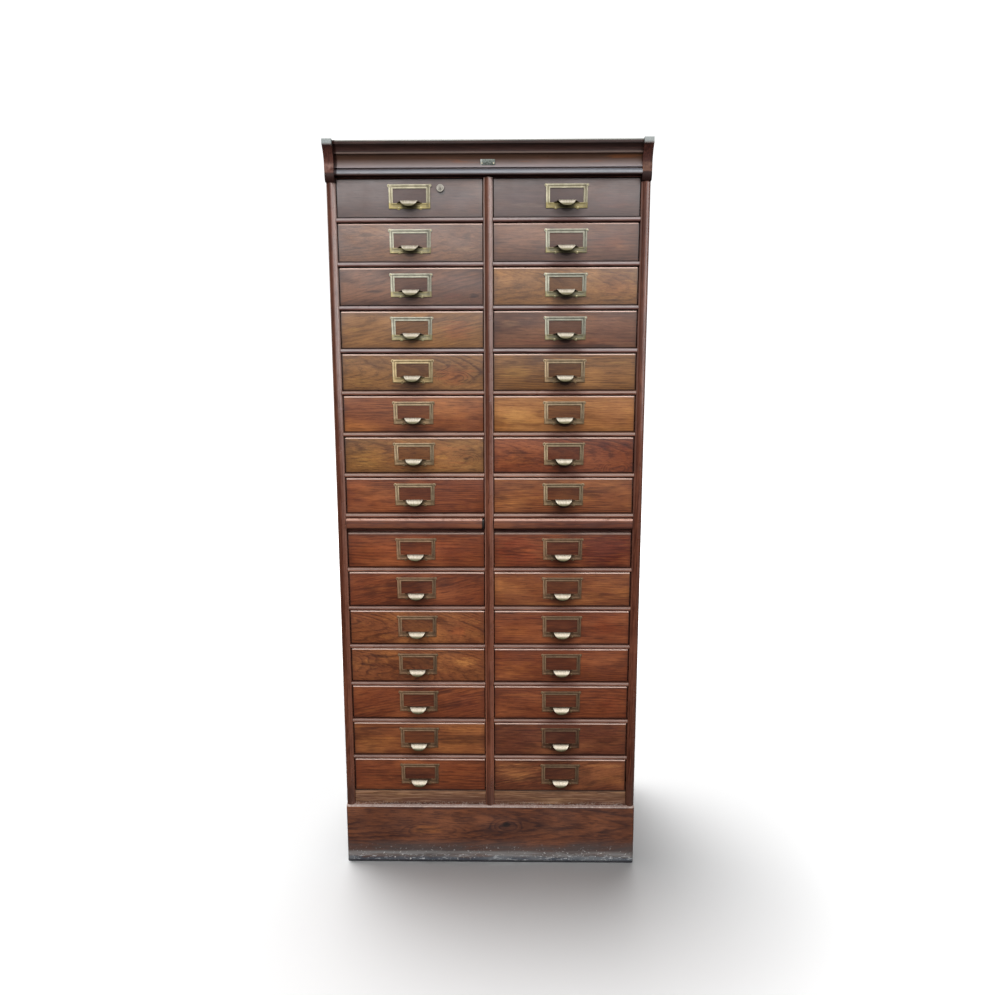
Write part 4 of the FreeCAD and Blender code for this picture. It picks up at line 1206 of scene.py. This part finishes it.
def brass(name, rub_and_glint, dark, low_ahead, high_ahead, dull=0.34):
    """Aged brass: dark in its hollows, rubbed bright where it stands highest."""
    metal = Finish(name)
    raised = (FACE - metal.y).span(0, low_ahead, high_ahead)
    patch, speck = metal.noise(260.0, 4.0, 0.6), metal.noise(900.0, 3.0, 0.6)
    share = (raised * 0.75 + patch.range(0.35, 0.68) * 0.4).clamped()
    metal.colour = metal.mix(share, dark, rub_and_glint)
    metal.lay(speck.range(0.58, 0.70, 0.0, 0.45), dark)
    roughness = speck * 0.12 + (share * -0.16 + (dull + 0.20))
    return metal.wear(roughness, patch, 0.25, Metallic=0.92)


def pull_finish(side, row, middle, sill):
    """Brass of one label pull: a rubbed frame with its bars darkened as painted shade, wings darkened
    as painted shade, and a lip polished by use with a painted sheen and painted shade at its foot.
    """
    rub_and_glint, dark, low_tint = ODD_PULLS.get((side, row), BRASS_BY_ROW[row - 1])
    left = side == "left"
    metal = Finish("brass_pull_%s_%02d" % (side, row))
    x, z, ahead = metal.x - middle, metal.z, FACE - metal.y
    patch, speck = metal.noise(90.0, 4.0, 0.6), metal.noise(700.0, 3.0, 0.6)
    share = ahead.span(0, 1.3, 2.4) * 0.40 + 0.25 + patch.range(0.35, 0.68) * 0.35
    share = share.clamped()
    low_share = 1.0 if left or row > 4 else 0.75
    rubbed = metal.mix(z.span(sill, 36, 31), rub_and_glint, [low_share * part for part in low_tint])
    # Painted shade: the frame is darkened least on its left bar and most on its right bar, as if lit
    # from the left, and more in the right column
    rest, right_bar = (0.64, 0.46) if left else (0.46, 0.42)
    if row == 1:
        rest, right_bar = (0.70, 0.52) if left else (0.62, 0.48)
    dim = metal.mix(x.span(0, -38, -42), rest, 0.80 if left else 0.70)
    dim = metal.mix(x.span(0, 36, 42), dim, right_bar)
    metal.colour = metal.mix(1.0, metal.mix(share, dark, rubbed), dim, "MULTIPLY")
    metal.lay(speck.range(0.60, 0.72, 0.0, 0.35), dark)
    # Painted shadow of the tongue on the lower bar below it
    under = abs(x).span(0, 24, 14) * z.span(sill, 32, 30)
    metal.lay(under, (0.030, 0.024, 0.008), 0.85)
    lip = ahead.span(0, 12.5, 15.5)
    # Painted shade on the tongue's shelf beside and behind the lip
    metal.lay(ahead.span(0, 3, 4) * (1.0 - lip), (0.030, 0.016, 0.009), 0.8)
    scratches = metal.noise((900, 60, 60), 3.0, 0.6).range(0.38, 0.62)
    # The lip is polished, paler on the upper rows as a painted sheen, with painted shade at its foot
    pale = (0.44, 0.40, 0.33) if row < 9 else (0.37, 0.33, 0.27)
    lip_polish_and_shading = metal.mix(scratches, (0.27, 0.235, 0.175), pale)
    lip_polish_and_shading = metal.mix(z.span(sill, 31.5, 25) * 0.95, lip_polish_and_shading, (0.050, 0.042, 0.015))
    metal.lay(lip, lip_polish_and_shading)
    roughness = speck * 0.12 + (share * -0.10 + 0.52)
    return metal.wear(roughness, patch, 0.2, Metallic=0.70)


def drawers():
    low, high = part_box(drawer_node("right", 2))
    half = (high.x - low.x) / 2
    front, case = drawer_front(half), drawer_box(half, high.y - FACE)
    pull = join_in_metres("label_pull", [label_frame(), tongue()] + [lug(*p) for p in LUG_PLACES])
    pins = join_in_metres("label_pins", [pin(*place) for place in LUG_PLACES])
    height = OPENING_HEIGHT - 2 * FRONT_GAP
    box_finish = oak("oak_drawer_boxes", (low.x, FACE, 0), (high.x, high.y, 1), BARE, QUIET, "Y",
                     2.0, 0.55, 0.0, 0.0)
    # Pins on the top four rows are brighter, partly as a painted sky reflection
    pin_finishes = [brass("brass_pins_high", (0.32, 0.28, 0.18), (0.12, 0.095, 0.05), 2.4, 3.5),
                    brass("brass_pins_low", (0.15, 0.105, 0.055), (0.07, 0.045, 0.025), 2.4, 3.5)]
    for side in COLUMNS:
        for row in ROWS:
            node = drawer_node(side, row)
            low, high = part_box(node)
            sill = sill_of(side, row)
            shift = ((low.x + high.x) / 2, FACE, sill)
            finish = front_finish(side, row, (low.x, FACE, sill + FRONT_GAP),
                                  (high.x, FACE + FRONT_THICKNESS, sill + FRONT_GAP + height))
            board = copy_of(front, node + "_front", shift)
            if node == "drawer_left_01":
                cut_for_lock(board)
            dress(board, finish, node, "drawer_wood", node)
            dress(copy_of(case, node + "_box", shift), box_finish, node, "inner_wood")
            metal = pull_finish(side, row, shift[0], sill)
            dress(copy_of(pull, node + "_pull", shift), metal, node, "brass")
            dress(copy_of(pins, node + "_pins", shift), pin_finishes[row > 4], node, "brass")
    for master in (front, case, pull, pins):
        bpy.data.objects.remove(master)


# Lock, in millimetres
BARREL_RADIUS, BARREL_OUT, PLUG_RADIUS, BORE_RADIUS = 8.75, 5.0, 5.8, 5.95
CASE_FRONT, CASE_BACK, FLANGE_BACK = -9.0, -19.0, -20.6
BOLT_FRONT, BOLT_BACK, PLUG_BACK = -12.5, -15.5, -12.05
CASE_HALF, FLANGE_HALF, BOLT_HALF = 19.0, 29.0, 8.3
BOLT_GAP, CHANNEL_RISE, HOLE_GAP, NEARLY_THROUGH = 0.3, 11.7, 0.2, 0.98
KEYWAY = (1.8, 7.0, 6.0)
CRANK_RADIUS, CRANK_PIN, CRANK_REST = 3.5, 1.2, math.radians(-45)


def lock_place():
    low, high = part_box("lock_plug")
    return (low.x + high.x) / 2, (low.z + high.z) / 2


def lock_block(name, half, front, back, low, high):
    """A block about the lock's middle, between two distances ahead in mm and two heights."""
    x = lock_place()[0]
    return block(name, at(x - half * MM, front * MM, low), at(x + half * MM, back * MM, high))


def lock_round(name, radius, back, front, sides=32, off=(0, 0)):
    """A round about the lock's middle, or off it, between two distances ahead in mm."""
    x, z = lock_place()
    middle = at(x + off[0] * MM, (back + front) / 2 * MM, z + off[1] * MM)
    return cylinder(name, middle, radius * MM, (front - back) * MM, sides)


def cut_for_lock(front):
    """The barrel's hole, the pocket for the case and the way for the bolt."""
    low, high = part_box("lock_case")
    cut(front, lock_round("hole", BARREL_RADIUS + HOLE_GAP, -30, 10))
    cut(front, lock_block("pocket", CASE_HALF, CASE_FRONT, CASE_BACK - 10, low.z, high.z))
    cut(front, lock_block("bolt_way", BOLT_HALF, BOLT_FRONT + BOLT_GAP, CASE_BACK - 10,
                          high.z - CLEAR, high.z + 5 * CLEAR))
    smooth(front)


def lock():
    low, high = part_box("lock_case")
    case = lock_block("lock_case_block", CASE_HALF, CASE_FRONT, CASE_BACK, low.z, high.z)
    flange = lock_block("lock_flange", FLANGE_HALF, CASE_BACK, FLANGE_BACK, low.z, high.z)
    for piece in (case, flange):
        ease(piece, 0.5 * MM)
    cut(case, lock_block("channel", BOLT_HALF, BOLT_FRONT + BOLT_GAP, BOLT_BACK - BOLT_GAP,
                         low.z + CHANNEL_RISE * MM, high.z + CLEAR))
    barrel = lock_round("lock_barrel", BARREL_RADIUS, CASE_FRONT, BARREL_OUT, 48)
    front_y = FACE - BARREL_OUT * MM
    with editing(barrel, "FACE", lambda c, f: same(c.y, front_y, 1e-6)):
        bpy.ops.mesh.inset(thickness=(BARREL_RADIUS - BORE_RADIUS) * MM)
        pull_out(y=(BARREL_OUT - CASE_FRONT) * MM * NEARLY_THROUGH)
    ease(barrel, 0.7 * MM, 3, 60)
    cut(case, lock_round("bore", BORE_RADIUS, BOLT_FRONT, CASE_FRONT + 1, 48))
    cut(barrel, lock_round("bore_end", BORE_RADIUS, CASE_FRONT - 2, CASE_FRONT + 2, 48))
    whole = join("lock_body", [barrel, case, flange])
    smooth(whole)
    steel = brass("brass_lock_body", (0.23, 0.215, 0.185), (0.035, 0.030, 0.026), 3.6, 4.9, 0.36)
    dress(whole, steel, "drawer_left_01", "brass", "lock_case")
    plug = lock_round("lock_plug_round", PLUG_RADIUS, PLUG_BACK, BARREL_OUT, 40)
    ease(plug, 0.4 * MM, 2, 60)
    x, z = lock_place()
    width, height, deep = (size * MM for size in KEYWAY)
    cut(plug, block("keyway", (x - width / 2, front_y - 0.001, z - height / 2),
                    (x + width / 2, front_y + deep, z + height / 2)))
    off = CRANK_RADIUS * math.cos(CRANK_REST), CRANK_RADIUS * math.sin(CRANK_REST)
    crank = lock_round("crank", CRANK_PIN, BOLT_BACK, PLUG_BACK, 16, off)
    plug = join("lock_plug_piece", [plug, crank])
    smooth(plug)
    core = brass("brass_lock_plug", (0.200, 0.185, 0.160), (0.006, 0.005, 0.005), 3.9, 4.8, 0.42)
    dress(plug, core, "lock_plug", "brass", "lock_plug")
    for node in ("lock_bolt", "lock_screws"):
        paint(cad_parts[node],
              brass("brass_" + node, (0.60, 0.52, 0.34), (0.24, 0.19, 0.11), -40, 0))


def badge():
    """Bare badge plate leaning on the cove, with two pins."""
    low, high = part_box("badge_plate")
    thick = 1.0 * MM
    rise, reach = high.z - low.z, high.y - low.y - thick
    plate = block("badge", (low.x, -thick, 0), (high.x, 0, math.hypot(reach, rise)))
    with editing(plate, "EDGE", lambda c, e: same(c.y, -thick / 2, 1e-6)):
        round_off(1.2 * MM, 4)
    ease(plate, 0.3 * MM)
    plate.data.transform(Matrix.Translation((0, high.y, low.z))
                         @ Matrix.Rotation(math.atan2(reach, rise), 4, "X"))
    metal = Finish("aged_badge_metal")
    patch = metal.noise(300.0, 4.0, 0.65)
    metal.colour = metal.mix(patch.range(0.38, 0.62), (0.060, 0.068, 0.058), (0.15, 0.165, 0.15))
    metal.lay(metal.x.span(low.x, 3.5, 2) | metal.z.span(low.z, 4, 1), (0.34, 0.35, 0.33), 0.8)
    material = metal.wear(patch.range(0.3, 0.7, 0.34, 0.55), patch, 0.3, Metallic=0.8)
    dress(plate, material, "carcass", "brass", "badge_plate")
    paint(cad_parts["badge_pins"],
          brass("brass_badge_pins", (0.60, 0.55, 0.40), (0.22, 0.19, 0.12), 10, 16))


# Floor, lights and camera
LENS, SENSOR = 28.106, 36.0
EYE = (0.04645, -2.11052, 1.29120)
EYE_TURN = (80.998, -0.105, 0.793)
FLOOR_SIZE, FLOOR_MIDDLE, WALL_HEIGHT, WALL_BEND = 16.0, -2.0, 6.0, 2.5
FLOOR_BACK = FLOOR_MIDDLE + FLOOR_SIZE / 2
AIR_STRENGTH = 0.15
SUN_WAY, SUN_SPREAD, SUN_STRENGTH = (0.095, -0.165, -1.0), 22, 3.1


def aim(thing, way):
    thing.rotation_euler = Vector(way).to_track_quat("-Z", "Y").to_euler()


def panel_light(name, place, towards, size, power):
    bpy.ops.object.light_add(type="AREA", location=place)
    light = bpy.context.active_object
    light.name = name
    light.data.shape = "RECTANGLE"
    light.data.size, light.data.size_y = size
    light.data.energy = power
    aim(light, Vector(towards) - Vector(place))
    return light


def studio():
    """Pale paper floor that fades to white, a sky of soft panels in front, and a high soft sun."""
    scene = bpy.context.scene
    only()
    bpy.ops.mesh.primitive_plane_add(size=FLOOR_SIZE, location=(0, FLOOR_MIDDLE, 0))
    floor = settle("studio_floor")
    with editing(floor, "EDGE", lambda c, e: same(c.y, FLOOR_BACK, 1e-3)):
        pull_out(z=WALL_HEIGHT)
    with editing(floor, "EDGE", lambda c, e: same(c.y, FLOOR_BACK, 1e-3) and abs(c.z) < 1e-3):
        round_off(WALL_BEND, 16)
    smooth(floor)
    paper = Finish("studio_paper")
    paper.colour = 0.90
    # The paper glows, faintly near the cabinet and fully from 2.2 m out, so that it reads white
    glow = paper.length(paper.place).range(0.75, 2.2, 0.02, 1.0)
    paint(floor, paper.wear(0.9, Specular_IOR_Level=0.0, Emission_Color=1.0,
                            Emission_Strength=glow))
    floor.visible_diffuse = False
    floor.visible_glossy = False

    world = bpy.data.worlds.new("studio_air")
    world.use_nodes = True
    air = world.node_tree.nodes["Background"].inputs
    air["Color"].default_value = (1, 1, 1, 1)
    air["Strength"].default_value = AIR_STRENGTH
    scene.world = world
    panels = [
        panel_light("sky_panel", (0.0, -5.2, 3.5), (0, -0.2, 1.0), (8.0, 3.8), 480),
        panel_light("high_panel", (0.0, -2.4, 5.2), (0, -0.9, 0.5), (6.0, 4.0), 190),
        panel_light("right_panel", (3.5, -2.0, 2.9), (0, -0.2, 1.2), (2.6, 3.2), 190),
    ]
    panels[2].visible_diffuse = False
    but_floor = bpy.data.collections.new("lit_by_panels")
    but_floor.objects.link(floor)
    but_floor.collection_objects[0].light_linking.link_state = "EXCLUDE"
    for panel in panels:
        panel.light_linking.receiver_collection = but_floor
    bpy.ops.object.light_add(type="SUN", location=(-0.5, 0.8, 4.0))
    sun = bpy.context.active_object
    sun.name = "high_sun"
    sun.data.energy = SUN_STRENGTH
    sun.data.angle = math.radians(SUN_SPREAD)
    aim(sun, SUN_WAY)
    scene.view_settings.view_transform = "Standard"

    bpy.ops.object.camera_add(location=EYE)
    camera = bpy.context.active_object
    camera.name = "viewpoint"
    tilt, roll, turn = (math.radians(angle) for angle in EYE_TURN)
    camera.rotation_euler = (Matrix.Rotation(turn, 3, "Z") @ Matrix.Rotation(tilt, 3, "X")
                             @ Matrix.Rotation(roll, 3, "Z")).to_euler()
    camera.data.sensor_fit = "HORIZONTAL"
    camera.data.sensor_width = SENSOR
    camera.data.lens = LENS
    scene.camera = camera


sides()
divider()
plain_boards()
dress_hidden_nodes()
backs()
bottom_rails()
bead_rails()
plinth()
cornice()
end_blocks()
writing_slides()
drawers()
lock()
badge()
studio()
